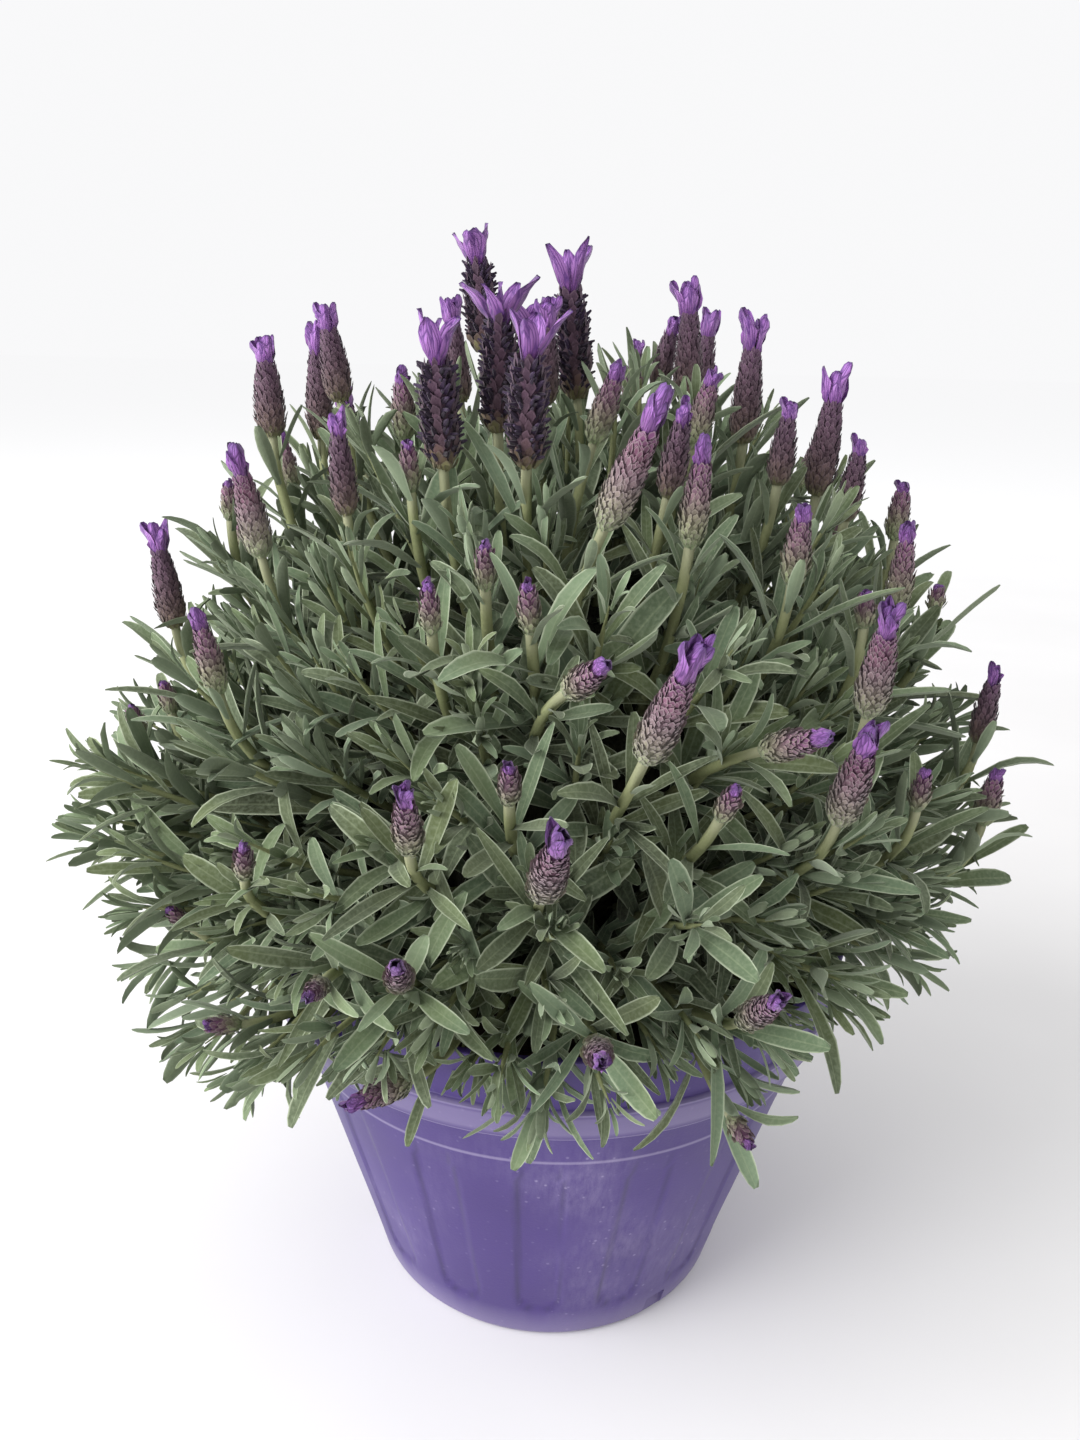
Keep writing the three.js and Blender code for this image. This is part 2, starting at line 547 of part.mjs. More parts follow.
// Keeps every solid that is placed, and says whether a new one is clear of those of other owners.
class Clearance {
  constructor() {
    this.placed = [];
  }
  add(owner, solid) {
    this.placed.push({ owner, solid, box: solid.boundingBox() });
  }
  isClear(owners, solid, gap = GAP - 0.05) {
    const box = solid.boundingBox();
    return this.placed.every((other) => {
      if (owners.includes(other.owner)) return true;
      const isBeyond = (a, b) => [0, 1, 2].some((k) => a.min[k] > b.max[k] + gap);
      const isApart = isBeyond(box, other.box) || isBeyond(other.box, box);
      return isApart || solid.minGap(other.solid, gap * 2) >= gap;
    });
  }
}

// Every flower head of the bush, the front ones as listed and the back ones by their tiers.
function allFlowers() {
  const flowers = FRONT_FLOWERS.map(([bearing, fromTop, proud, lean, leanBearing, length, stage]) => ({
    bearing, fromTop, proud, lean, leanBearing, length, stage,
  }));
  const span = BACK_ARC.to - BACK_ARC.from;
  for (const { fromTop, stages } of BACK_TIERS) {
    stages.forEach((stage, i) => {
      const bearing = BACK_ARC.from + (span * (i + 0.5)) / stages.length + between(-6, 6);
      flowers.push({
        bearing, fromTop: fromTop + between(-5, 5), proud: between(0, 6),
        lean: fromTop * 0.3 + between(0, 8), leanBearing: bearing + between(-25, 25),
        length: BACK_LENGTHS[stage] * between(0.92, 1.08), stage,
      });
    });
  }
  return flowers.map((flower) => ({
    ...flower,
    foot: onEllipsoid(FEET, flower.bearing, flower.fromTop, flower.proud),
    axis: leaning(flower.lean, flower.leanBearing),
    isLoose: flower.length >= LOOSE_HEAD && flower.stage !== 'bud',
  }));
}

// The shoots that carry no flower: a skirt of them, spread by the golden angle, that droops over the
// rim of the pot and keeps clear of the flowers' feet.
function leafyShoots(flowers) {
  const shoots = [];
  for (let i = 0; shoots.length < SHOOTS.count && i < SHOOTS.tries; i++) {
    const bearing = (i * GOLDEN_ANGLE) % 360;
    const fromTop = SHOOTS.from + (SHOOTS.to - SHOOTS.from) * ((i * GOLDEN_SHARE) % 1);
    const end = onEllipsoid(FEET, bearing, fromTop, between(0, 8));
    const isNear = (points, room) => points.some((point) => point.distanceTo(end) < room);
    if (isNear(flowers.map(({ foot }) => foot), SHOOTS.roomToFlowers)) continue;
    if (isNear(shoots.map((shoot) => shoot.end), SHOOTS.roomToShoots)) continue;
    shoots.push({ end, axis: leaning(fromTop - 6 + between(-8, 8), bearing + between(-15, 15)) });
  }
  return shoots;
}

// A flower's stem with what is fused to it: nothing under a head that is a piece of its own, the
// head under a small one, and a bud as its swollen end.
function stemWithHead(rings, flower) {
  if (!flower || flower.isLoose) return stemSolid(rings);
  if (flower.stage === 'bud') {
    return stemSolid([...rings, ...budRings(rings.at(-1), flower.axis, flower.length)]);
  }
  return stemSolid(rings).add(headSolid(flower.stage, flower.length).transform(standing(flower)));
}

// Grows one stem out of the heart, moving its root until the stem is clear of everything else.
function growStem(stem, clearance) {
  for (let attempt = 0; attempt < ROOT_ATTEMPTS; attempt++) {
    const shift = leaning(90, attempt * 97).multiplyScalar(attempt * 1.4);
    const { branch, point } = rootOf(stem.end, shift);
    const rings = ringsAlong(stemCurve(point, stem.end, stem.axis), between(0, Math.PI));
    const solid = stemWithHead(rings, stem.flower);
    if (clearance.isClear([branch], solid)) return { ...stem, branch, rings, solid };
  }
  return null;
}

// The leaves of one stem, in opposite pairs at right angles. One that would touch anything but its
// stem is opened further a few times, and left out if it still doesn't fit.
function leavesOf(stem, clearance) {
  const leaves = [];
  const kind = stem.flower ? stem.flower.stage : 'leafy';
  const shares = stem.flower && !stem.flower.isLoose ? [] : LEAF_PAIRS[kind] ?? [];
  shares.forEach((share, pair) => {
    for (const side of [0, 2]) {
      for (let attempt = 0; attempt < OPENING.tries; attempt++) {
        const wanted = (share > 0.9 ? OPENING.tip : OPENING.side) + attempt * OPENING.further;
        const opening = wanted + between(-6, 6);
        const length = LEAF_LENGTH * between(0.82, 1.12);
        const leaf = leafOn(stem.rings, share, pair + side, opening, length);
        if (!clearance.isClear([stem], leaf)) continue;
        clearance.add(stem, leaf);
        leaves.push(leaf);
        break;
      }
    }
  });
  return leaves;
}

// A share of the heart with a leaf raised from each broad outer face, where one fits.
function leafedHeart(share, branch, clearance) {
  const faces = facesOf(share).flatMap((corners) => {
    const bed = new THREE.Triangle(...corners);
    const centre = bed.getMidpoint(new THREE.Vector3());
    const outward = bed.getNormal(new THREE.Vector3());
    const isOuter = outward.dot(centre.clone().sub(CENTRE).normalize()) > 0.6;
    if (!isOuter || bed.getArea() < SMALLEST_LEAF_BED) return [corners];
    for (let attempt = 0; attempt < LEAF_ATTEMPTS; attempt++) {
      const leaf = raisedFrom(corners, centre, heartLeaf(centre, outward));
      if (!leaf) continue;
      const solid = solidFromFaces([...leaf.blade, leaf.foot]);
      if (share.intersect(solid).volume() > SLIVER || !clearance.isClear([branch], solid)) continue;
      clearance.add(corners, solid);
      return [...leaf.bed, ...leaf.blade];
    }
    return [corners];
  });
  return solidFromFaces(faces);
}

// A named mesh of a solid with one of the finishes.
function node(name, solid, finish) {
  const material = new THREE.MeshStandardMaterial({ ...FINISHES[finish], metalness: 0 });
  const mesh = new THREE.Mesh(geometryFrom(solid), material);
  mesh.name = name;
  return mesh;
}

const plant = new THREE.Group();
const clearance = new Clearance();

const [pot, soil, wood] = [potSolid(), soilSolid(), woodSolid()];
plant.add(node('pot', pot, 'pot'), node('soil', soil, 'soil'), node('woody_base', wood, 'wood'));
for (const solid of [pot, soil, wood]) clearance.add(solid, solid);

const heart = heartSolid();
const shares = Array.from({ length: BRANCHES + 1 }, (_, branch) => heartShare(heart, branch));
shares.forEach((share, branch) => clearance.add(branch, share));

const flowers = allFlowers();
flowers.filter(({ isLoose }) => isLoose).forEach((flower, i) => {
  const head = headSolid(flower.stage, flower.length);
  clearance.add(flower, head.transform(standing(flower)));
  const mesh = node(`flower_head_${String(i + 1).padStart(2, '0')}`, head, 'flower');
  mesh.position.copy(flower.foot);
  mesh.quaternion.setFromUnitVectors(UP, flower.axis);
  plant.add(mesh);
});

// A stem ends just under a head that is a piece of its own, and just inside one that is fused to it.
const flowerStems = flowers.map((flower) => {
  const end = flower.foot.clone().addScaledVector(flower.axis, flower.isLoose ? -GAP : 1);
  return { flower, end, axis: flower.axis };
});
const stems = [];
for (const wanted of [...flowerStems, ...leafyShoots(flowers)]) {
  const stem = growStem(wanted, clearance);
  if (!stem) continue;
  clearance.add(stem, stem.solid);
  stems.push(stem);
}

for (const stem of stems) stem.leaves = leavesOf(stem, clearance);

shares.forEach((share, branch) => {
  const own = stems.filter((stem) => stem.branch === branch);
  const pieces = own.flatMap((stem) => [stem.solid, ...stem.leaves]);
  const whole = wasm.Manifold.union([leafedHeart(share, branch, clearance), ...pieces]);
  const name = branch === BRANCHES ? 'leafy_crown' : `leafy_branch_${branch + 1}`;
  plant.add(node(name, whole, 'leaf'));
});

export default plant;
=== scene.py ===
# %% [markdown]
# # A potted French lavender
# A nursery pot of purple plastic, full of potting mix, with a round bush of felted grey-green leaves
# and violet flower spikes. This lesson dresses the plain solids of the model: each one stays as the
# measure of place and size, and a finer mesh of the same form is built over it.
# All lengths in the script are in millimetres, and each finished mesh is scaled to metres at the end.

# %% Load the model and the modules
import math
import random

import bmesh
import bpy
from mathutils import Matrix, Vector, kdtree, noise


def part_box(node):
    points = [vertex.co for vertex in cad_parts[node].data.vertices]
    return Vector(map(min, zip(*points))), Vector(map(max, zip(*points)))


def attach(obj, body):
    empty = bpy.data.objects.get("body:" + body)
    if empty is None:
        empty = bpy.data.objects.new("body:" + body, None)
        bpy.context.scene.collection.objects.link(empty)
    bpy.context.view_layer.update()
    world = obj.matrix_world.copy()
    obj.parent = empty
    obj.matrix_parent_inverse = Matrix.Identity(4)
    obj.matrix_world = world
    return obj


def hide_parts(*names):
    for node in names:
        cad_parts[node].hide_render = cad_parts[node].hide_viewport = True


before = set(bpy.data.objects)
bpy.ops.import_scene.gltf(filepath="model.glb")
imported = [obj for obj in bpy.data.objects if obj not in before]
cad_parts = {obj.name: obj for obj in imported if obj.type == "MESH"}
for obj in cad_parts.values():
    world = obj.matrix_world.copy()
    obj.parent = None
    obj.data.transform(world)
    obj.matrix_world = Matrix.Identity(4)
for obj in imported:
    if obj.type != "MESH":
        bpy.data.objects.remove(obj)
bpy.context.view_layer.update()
print(len(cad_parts), "solids in the model")

# %% [markdown]
# ## The camera
# The photograph was taken from a little above the bush, looking down on it, with a wide lens.
# The camera stands where a fit to the pot's outline puts it. Its matrix is built from three
# directions, which keeps the small roll of the hand-held picture.

# %% Camera
MM = 0.001
PHOTO_LONG_SIDE = 1440
FOCAL_LENGTH_PIXELS = 1100
CAMERA_PLACE = Vector((8.4, -389.7, 346.6))
CAMERA_PITCH = math.radians(18.04)
CAMERA_YAW = math.radians(-2.38)
CAMERA_ROLL = math.radians(1.46)

ahead = Vector((
    math.sin(CAMERA_YAW) * math.cos(CAMERA_PITCH),
    math.cos(CAMERA_YAW) * math.cos(CAMERA_PITCH),
    -math.sin(CAMERA_PITCH),
))
level = Vector((math.cos(CAMERA_YAW), -math.sin(CAMERA_YAW), 0))
upward = level.cross(ahead)
right = math.cos(CAMERA_ROLL) * level + math.sin(CAMERA_ROLL) * upward
upright = math.cos(CAMERA_ROLL) * upward - math.sin(CAMERA_ROLL) * level

lens = bpy.data.cameras.new("camera")
lens.sensor_width = 36
lens.lens = lens.sensor_width * FOCAL_LENGTH_PIXELS / PHOTO_LONG_SIDE
lens.clip_start = 0.01
camera = bpy.data.objects.new("camera", lens)
bpy.context.scene.collection.objects.link(camera)
facing = Matrix((right, upright, -ahead)).transposed().to_4x4()
camera.matrix_world = Matrix.Translation(CAMERA_PLACE * MM) @ facing
bpy.context.scene.camera = camera
print("lens", round(lens.lens, 1), "mm")

# %% [markdown]
# ## Two helpers for materials
# Colours are written as the sRGB values that a colour picker shows, and the shader wants them linear.
# One function adds a node and gives back one of its outputs. An input is given by name or number, and
# is a socket to link, a colour code or a plain value, so that each material reads as a short recipe.

# %% Colour and node helpers
def colour(code):
    """The linear RGBA of an sRGB code such as #6d8062."""
    channels = [int(code[i:i + 2], 16) / 255 for i in (1, 3, 5)]
    return [c / 12.92 if c <= 0.04045 else ((c + 0.055) / 1.055) ** 2.4 for c in channels] + [1]


def add(tree, kind, inputs=None, stops=(), out=0, **settings):
    """Adds a node: settings are its own, inputs feed its sockets, stops fill a ramp, out is what it gives."""
    made = tree.nodes.new(kind)
    for name, value in settings.items():
        setattr(made, name, value)
    for socket, value in (inputs or {}).items():
        if isinstance(value, bpy.types.NodeSocket):
            tree.links.new(value, made.inputs[socket])
        else:
            made.inputs[socket].default_value = colour(value) if isinstance(value, str) else value
    for place, (position, code) in enumerate(stops):
        elements = made.color_ramp.elements
        element = elements[place] if place < 2 else elements.new(position)
        element.position = position
        element.color = colour(code)
    return made.outputs[out] if len(made.outputs) else made


print("sRGB #808080 is", round(colour("#808080")[0], 3), "in linear light")

# %% [markdown]
# ## What the recipes share
# A recipe starts with an empty tree and ends with the shader. Between them, colours are laid one over
# another, as a painter glazes: each layer has a source that grows over a range, the most that it may
# cover, and its colour. On the Mix node sockets 0, 6 and 7 are the share and the two colours, and
# output 2 is the mixed colour.

# %% Start, layers and end of a material
def new_material(name):
    """A material with its node tree emptied, and its tree."""
    material = bpy.data.materials.new(name)
    material.use_nodes = True
    material.node_tree.nodes.clear()
    return material, material.node_tree


def layered(tree, tone, layers):
    """Lays colours over a tone. A layer is its source, the range it grows over, its share and its colour."""
    for source, low, high, share, code in layers:
        amount = add(tree, "ShaderNodeMapRange",
                     {"Value": source, "From Min": low, "From Max": high, "To Max": share})
        tone = add(tree, "ShaderNodeMix", {0: amount, 6: tone, 7: code}, out=2, data_type="RGBA")
    return tone


def finish_material(tree, tone, bumps, bump_mm, values):
    """Ends a recipe: the shader with its constant values, its colour and the height of its bumps."""
    normal = add(tree, "ShaderNodeBump", {"Strength": 1, "Distance": bump_mm * MM, "Height": bumps})
    shader = add(tree, "ShaderNodeBsdfPrincipled", {"Base Color": tone, "Normal": normal, **values})
    add(tree, "ShaderNodeOutputMaterial", {"Surface": shader})


def per_mm(size):
    """The scale of a texture in metres whose features are that many millimetres apart."""
    return 1 / (size * MM)


print("a pattern of 1 mm has scale", per_mm(1))

# %% [markdown]
# ## The pot's plastic
# The pot is injection-moulded polypropylene: a satin skin with a soft highlight and a very fine grain.
# Water and potting mix have left a chalky haze of fine upright streaks and specks on it, and dust lies
# on the collar band, along its edges, on the fine ledge under it and at the foot. The streaks are a
# noise stretched upright. The specks are the middles of small scattered cells, and thicker where the
# wall is hazy. The real grain is too fine to show, so it is drawn a little coarser.

# %% Moulded polypropylene
CLOUDS, SMUDGES = 70, 60
STREAK_WIDTH, STREAK_LENGTH = 2.5, 25
SPECK_SPACING = 4.5
GRAIN = 0.9
BAND = (118.5, 129)
BAND_EDGE = 2
LEDGES = (102, 118, 129)
LEDGE_HALF = (0.9, 0.3)
FOOT_DUST = (16, 1)


def moulded_plastic():
    material, tree = new_material("moulded_polypropylene")
    place = add(tree, "ShaderNodeTexCoord", out="Object")
    height = add(tree, "ShaderNodeSeparateXYZ", {0: place}, out="Z")
    clouds = add(tree, "ShaderNodeTexNoise", {"Scale": per_mm(CLOUDS), "Detail": 3, "Vector": place})
    tone = add(tree, "ShaderNodeValToRGB", {0: clouds}, [(0.3, "#392667"), (0.72, "#443077")])
    tall = add(tree, "ShaderNodeMapping", {"Scale": (1, 1, STREAK_WIDTH / STREAK_LENGTH), "Vector": place})
    streaks = add(tree, "ShaderNodeTexNoise",
                  {"Scale": per_mm(STREAK_WIDTH), "Detail": 4, "Roughness": 0.7, "Vector": tall})
    streaked = add(tree, "ShaderNodeMapRange",
                   {"Value": streaks, "From Min": 0.3, "From Max": 0.8, "To Max": 0.3})
    smudges = add(tree, "ShaderNodeTexNoise", {"Scale": per_mm(SMUDGES), "Detail": 3, "Vector": place})
    haze = add(tree, "ShaderNodeMapRange", {"Value": smudges, "From Min": 0.46, "From Max": 0.78},
               interpolation_type="SMOOTHSTEP")
    cells = add(tree, "ShaderNodeTexVoronoi", {"Scale": per_mm(SPECK_SPACING), "Vector": place},
                out="Distance")
    dots = add(tree, "ShaderNodeMapRange",
               {"Value": cells, "From Min": 0.16, "From Max": 0.06, "To Max": 0.5})
    hazy = add(tree, "ShaderNodeMath", {0: haze, 1: 0.12}, operation="ADD")
    over_foot = add(tree, "ShaderNodeMapRange",
                    {"Value": height, "From Min": BAND[0] * MM, "From Max": (BAND[0] + BAND_EDGE) * MM,
                     "To Max": 0.24})
    under_top = add(tree, "ShaderNodeMapRange",
                    {"Value": height, "From Min": BAND[1] * MM, "From Max": (BAND[1] - BAND_EDGE) * MM})
    layers = [add(tree, "ShaderNodeMath", {0: first, 1: second}, operation="MULTIPLY")
              for first, second in ((streaked, haze), (dots, hazy), (over_foot, under_top))]
    layers.append(add(tree, "ShaderNodeMapRange", {
        "Value": height, "From Min": FOOT_DUST[0] * MM, "From Max": FOOT_DUST[1] * MM, "To Max": 0.3}))
    for ledge in LEDGES:
        off = add(tree, "ShaderNodeMath", {0: height, 1: ledge * MM}, operation="SUBTRACT")
        near = add(tree, "ShaderNodeMath", {0: off}, operation="ABSOLUTE")
        layers.append(add(tree, "ShaderNodeMapRange", {
            "Value": near, "From Min": LEDGE_HALF[0] * MM, "From Max": LEDGE_HALF[1] * MM, "To Max": 0.3}))
    dust = layers[0]
    for layer in layers[1:]:
        dust = add(tree, "ShaderNodeMath", {0: dust, 1: layer}, operation="ADD", use_clamp=True)
    # Along the flute edges the plastic is painted darker: painted shade of the grooves.
    flute_shade_mask = add(tree, "ShaderNodeAttribute", out="Fac", attribute_name="groove")
    skin = layered(tree, tone, [(dust, 0, 1, 1, "#b9b0cb"), (flute_shade_mask, 0, 1, 0.5, "#241c44")])
    grain = add(tree, "ShaderNodeTexNoise", {"Scale": per_mm(GRAIN), "Detail": 1, "Vector": place})
    finish_material(tree, skin, grain, 0.04, {"Roughness": 0.42, "IOR": 1.49})
    return material


pot_plastic = moulded_plastic()
print(pot_plastic.name)

# %% [markdown]
# ## Potting mix and old wood
# Potting mix is peat and bark: dark brown crumbs, some of them fibrous and paler. The old stem of a
# lavender is grey-brown bark that peels in upright strings, so its noise is stretched along the height.
# Both take nothing but noise in two sizes, one for the colour and one for the bumps.

# %% Peat and bark
def earthy(name, coarse_mm, fine_mm, stretch, stops, bump_mm):
    """A rough natural surface: coarse noise picks the colour and fine noise raises it."""
    material, tree = new_material(name)
    place = add(tree, "ShaderNodeTexCoord", out="Object")
    drawn = add(tree, "ShaderNodeMapping", {"Scale": (1, 1, stretch), "Vector": place})
    coarse = add(tree, "ShaderNodeTexNoise",
                 {"Scale": per_mm(coarse_mm), "Detail": 5, "Roughness": 0.65, "Vector": drawn})
    tone = add(tree, "ShaderNodeValToRGB", {0: coarse}, stops)
    fine = add(tree, "ShaderNodeTexNoise", {"Scale": per_mm(fine_mm), "Detail": 4, "Vector": drawn})
    finish_material(tree, tone, fine, bump_mm, {"Roughness": 0.92, "IOR": 1.45})
    return material


peat_mix = earthy("peat_potting_mix", 3, 1.2, 1, [(0.35, "#1d140e"), (0.68, "#4a3523")], 0.8)
old_bark = earthy("peeling_lavender_bark", 2.5, 1, 0.2, [(0.3, "#3c3025"), (0.7, "#8a7659")], 0.6)
# The core's near-black material is painted shade: it stands for the deep shadow among the twigs inside the
# bush.
twigs_and_painted_shade = earthy("shaded_inner_twigs", 6, 2, 0.4, [(0.35, "#141509"), (0.7, "#2a2c19")], 2)
print(peat_mix.name, old_bark.name, twigs_and_painted_shade.name)

# %% [markdown]
# ## The felted leaf
# A lavender leaf is covered in fine white hairs, so it looks grey-green and has no shine. The hairs
# are thickest on the rolled margin and on the underside, which are nearly white, and here and there a
# patch of the bush is a fresher yellow-green. Each leaf carries two marks as attributes, a tint of its
# own and its age, and its UV map runs once across and once along it. The age darkens the leaves that
# sit further back on a shoot: partly the real browning of older leaves, partly painted shade of the
# bush's deep inside. On the underside the map is shifted by one, which tells the two sides apart. The
# fuzz is drawn coarser than real hairs.

# %% Leaf and stem materials
FRESH_PATCHES = 38
LEAF_FUZZ, STEM_FUZZ = 1.1, 0.8


def felted_leaf():
    material, tree = new_material("felted_lavender_leaf")
    place = add(tree, "ShaderNodeTexCoord", out="Object")
    across_and_along = add(tree, "ShaderNodeUVMap", uv_map="UVMap")
    across = add(tree, "ShaderNodeSeparateXYZ", {0: across_and_along}, out="X")
    under = add(tree, "ShaderNodeMath", {0: across, 1: 1.0}, operation="GREATER_THAN")
    fraction = add(tree, "ShaderNodeMath", {0: across}, operation="FRACT")
    from_rib = add(tree, "ShaderNodeMath", {0: fraction, 1: 0.5}, operation="SUBTRACT")
    off_rib = add(tree, "ShaderNodeMath", {0: from_rib}, operation="ABSOLUTE")
    age = add(tree, "ShaderNodeAttribute", out="Fac", attribute_name="age")
    # Leaves further back on a shoot are darker, down to near black: real browning with age, and painted shade
    # of the bush's inside.
    aged_and_shaded = add(tree, "ShaderNodeValToRGB", {0: age}, [
        (0.0, "#7d8c6a"), (0.15, "#606f53"), (0.5, "#414b35"), (1.0, "#202217")])
    tint = add(tree, "ShaderNodeAttribute", out="Fac", attribute_name="tint")
    own_tone = add(tree, "ShaderNodeValToRGB", {0: tint}, [
        (0.0, "#38372a"), (0.35, "#4a503e"), (0.7, "#5c7058"), (1.0, "#7b8f78")])
    tone = add(tree, "ShaderNodeMix", {0: 0.5, 6: aged_and_shaded, 7: own_tone}, out=2, data_type="RGBA")
    patches = add(tree, "ShaderNodeTexNoise", {"Scale": per_mm(FRESH_PATCHES), "Detail": 1, "Vector": place})
    fuzz = add(tree, "ShaderNodeTexNoise", {"Scale": per_mm(LEAF_FUZZ), "Detail": 3, "Vector": place})
    skin = layered(tree, tone, [
        (patches, 0.45, 0.64, 0.32, "#6c7743"), (fuzz, 0.4, 0.75, 0.35, "#8b967c"),
        (off_rib, 0.39, 0.48, 0.68, "#b4bda4"), (off_rib, 0.06, 0.01, 0.25, "#98a383"),
        (under, 0, 1, 0.45, "#8a967f")])
    finish_material(tree, skin, fuzz, 0.12, {
        "Roughness": 0.8, "IOR": 1.4, "Specular IOR Level": 0.25,
        "Sheen Weight": 0.25, "Sheen Roughness": 0.5, "Sheen Tint": "#dfe5d5"})
    return material


def soft_stem():
    material, tree = new_material("downy_green_stem")
    place = add(tree, "ShaderNodeTexCoord", out="Object")
    age = add(tree, "ShaderNodeAttribute", out="Fac", attribute_name="age")
    # The stem turns darker towards its foot: woody bark with age, and painted shade deep inside the bush.
    aged_and_shaded = add(tree, "ShaderNodeValToRGB", {0: age}, [
        (0.0, "#94957a"), (0.2, "#7e845a"), (0.5, "#646b42"), (1.0, "#3a3324")])
    fuzz = add(tree, "ShaderNodeTexNoise", {"Scale": per_mm(STEM_FUZZ), "Detail": 3, "Vector": place})
    skin = layered(tree, aged_and_shaded, [(fuzz, 0, 1, 0.4, "#a3a682")])
    finish_material(tree, skin, fuzz, 0.15, {"Roughness": 0.75, "IOR": 1.4})
    return material


leaf_felt = felted_leaf()
green_stem = soft_stem()
print(leaf_felt.name, green_stem.name)

# %% [markdown]
# ## The flower spike
# A spike is a column of small overlapping scales, called bracts, which hold the florets, and it ends
# in a tuft of large violet ones. It ripens from the foot up: green, then brown with pale scale tips,
# then purple. Each scale knows how far up the spike it sits, and each of its points how near it is to
# the scale's margin. One recipe takes both, and each stage of the flower has its own row of colours.

# %% Spike materials
SCALE_FUZZ = 0.9


def own_shade(tree, tone, darkest, lightest):
    """A tone that is a little darker or lighter on each copy, by its tint."""
    tint = add(tree, "ShaderNodeAttribute", out="Fac", attribute_name="tint")
    shade = add(tree, "ShaderNodeMapRange", {"Value": tint, "To Min": darkest, "To Max": lightest})
    return add(tree, "ShaderNodeHueSaturation", {"Value": shade, "Color": tone})


def row_of_colours(tree, stops):
    """The colour at each copy's own share of the way along."""
    along = add(tree, "ShaderNodeAttribute", out="Fac", attribute_name="along")
    return add(tree, "ShaderNodeValToRGB", {0: along}, stops)


def bract(name, margin, share, stops):
    """The scales of one stage: a row of colours up the spike and a margin of another colour."""
    material, tree = new_material(name)
    place = add(tree, "ShaderNodeTexCoord", out="Object")
    edge = add(tree, "ShaderNodeAttribute", out="Fac", attribute_name="edge")
    fuzz = add(tree, "ShaderNodeTexNoise", {"Scale": per_mm(SCALE_FUZZ), "Detail": 3, "Vector": place})
    toned = own_shade(tree, row_of_colours(tree, stops), 0.72, 1.25)
    skin = layered(tree, toned, [(edge, 0.55, 0.95, share, margin)])
    finish_material(tree, skin, fuzz, 0.2, {
        "Roughness": 0.7, "IOR": 1.4, "Sheen Weight": 0.15, "Sheen Roughness": 0.5})
    return material


SPIKE_FINISHES = {
    "open": bract("ripe_spike_bract", "#6c5564", 0.35, [
        (0.0, "#75704c"), (0.08, "#624c44"), (0.2, "#4b3540"), (1.0, "#432b40")]),
    "full": bract("closed_spike_bract", "#a6969a", 0.5, [
        (0.0, "#8b9672"), (0.25, "#878270"), (0.55, "#745e66"), (0.8, "#6a4258"), (1.0, "#6b3d66")]),
    # This darker finish is painted shade, for closed heads near the top and on the sides of the bush.
    "ripening": bract("ripening_spike_bract", "#85707b", 0.42, [
        (0.0, "#74744f"), (0.1, "#66554d"), (0.45, "#57414b"), (1.0, "#50354f")]),
    "young": bract("green_spike_bract", "#a69b92", 0.5, [
        (0.0, "#86946c"), (0.35, "#827e68"), (0.65, "#755866"), (1.0, "#70406a")]),
}
floret_violet = bract("dark_violet_floret", "#3d2a4c", 0.6, [(0.0, "#20141f"), (1.0, "#271430")])
print(len(SPIKE_FINISHES), "finishes of scales and one of florets")

# %% [markdown]
# ## The ears
# The large violet bracts on top are thin as tissue, with a net of darker veins that runs along them.
# The net is the edges of cells, drawn out on the UV map. Open ears are paler than a closed tuft.

# %% Ear materials
VEIN_CELLS = (7, 2.6, 1)


def petal(name, vein, stops):
    """An ear: a row of colours from its foot to its tip, with a net of darker veins along it."""
    material, tree = new_material(name)
    lengthways = add(tree, "ShaderNodeUVMap", uv_map="UVMap")
    drawn = add(tree, "ShaderNodeMapping", {"Scale": VEIN_CELLS, "Vector": lengthways})
    net = add(tree, "ShaderNodeTexVoronoi", {"Scale": 1, "Vector": drawn}, feature="DISTANCE_TO_EDGE")
    toned = own_shade(tree, row_of_colours(tree, stops), 0.82, 1.15)
    skin = layered(tree, toned, [(net, 0.15, 0.02, 0.9, vein)])
    finish_material(tree, skin, net, 0.5, {
        "Roughness": 0.55, "IOR": 1.4, "Sheen Weight": 0.2, "Sheen Roughness": 0.4})
    return material


ear_violet = petal("violet_ear_bract", "#542f72", [
    (0.0, "#4f2c52"), (0.25, "#784788"), (0.7, "#a875bc"), (0.92, "#9562ad"), (1.0, "#4e3468")])
tuft_violet = petal("closed_tuft_bract", "#4f2c64", [
    (0.0, "#6a4461"), (0.3, "#7d5089"), (0.75, "#9462ab"), (1.0, "#5e3f7c")])
print(ear_violet.name, tuft_violet.name)

# %% [markdown]
# ## From a bmesh to a piece
# Every piece ends in the same way: its mesh goes from millimetres to metres, takes its materials,
# moves with the model's one body, and may stand in for solids of the model.

# %% Finish a piece
def finish_piece(name, bm, materials, nodes=()):
    mesh = bpy.data.meshes.new(name)
    bm.to_mesh(mesh)
    bm.free()
    mesh.transform(Matrix.Scale(MM, 4))
    for material in materials:
        mesh.materials.append(material)
    piece = bpy.data.objects.new(name, mesh)
    bpy.context.scene.collection.objects.link(piece)
    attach(piece, "root")
    if nodes:
        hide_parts(*nodes)
    triangles = sum(len(face.vertices) - 2 for face in mesh.polygons)
    print(name, triangles, "triangles")
    return piece


def smoothly(value):
    """Eases a share from 0 to 1 in and out."""
    value = min(max(value, 0), 1)
    return value * value * (3 - 2 * value)


# %% [markdown]
# ## The pot's wall
# The wall is one closed outline, drawn from the axis under the floor, up the outside and down the
# inside, and a spin turns it into a body. The wall's long rows are then divided, so that there are
# points to press the flutes in with, and the sharp rims get a bevel.

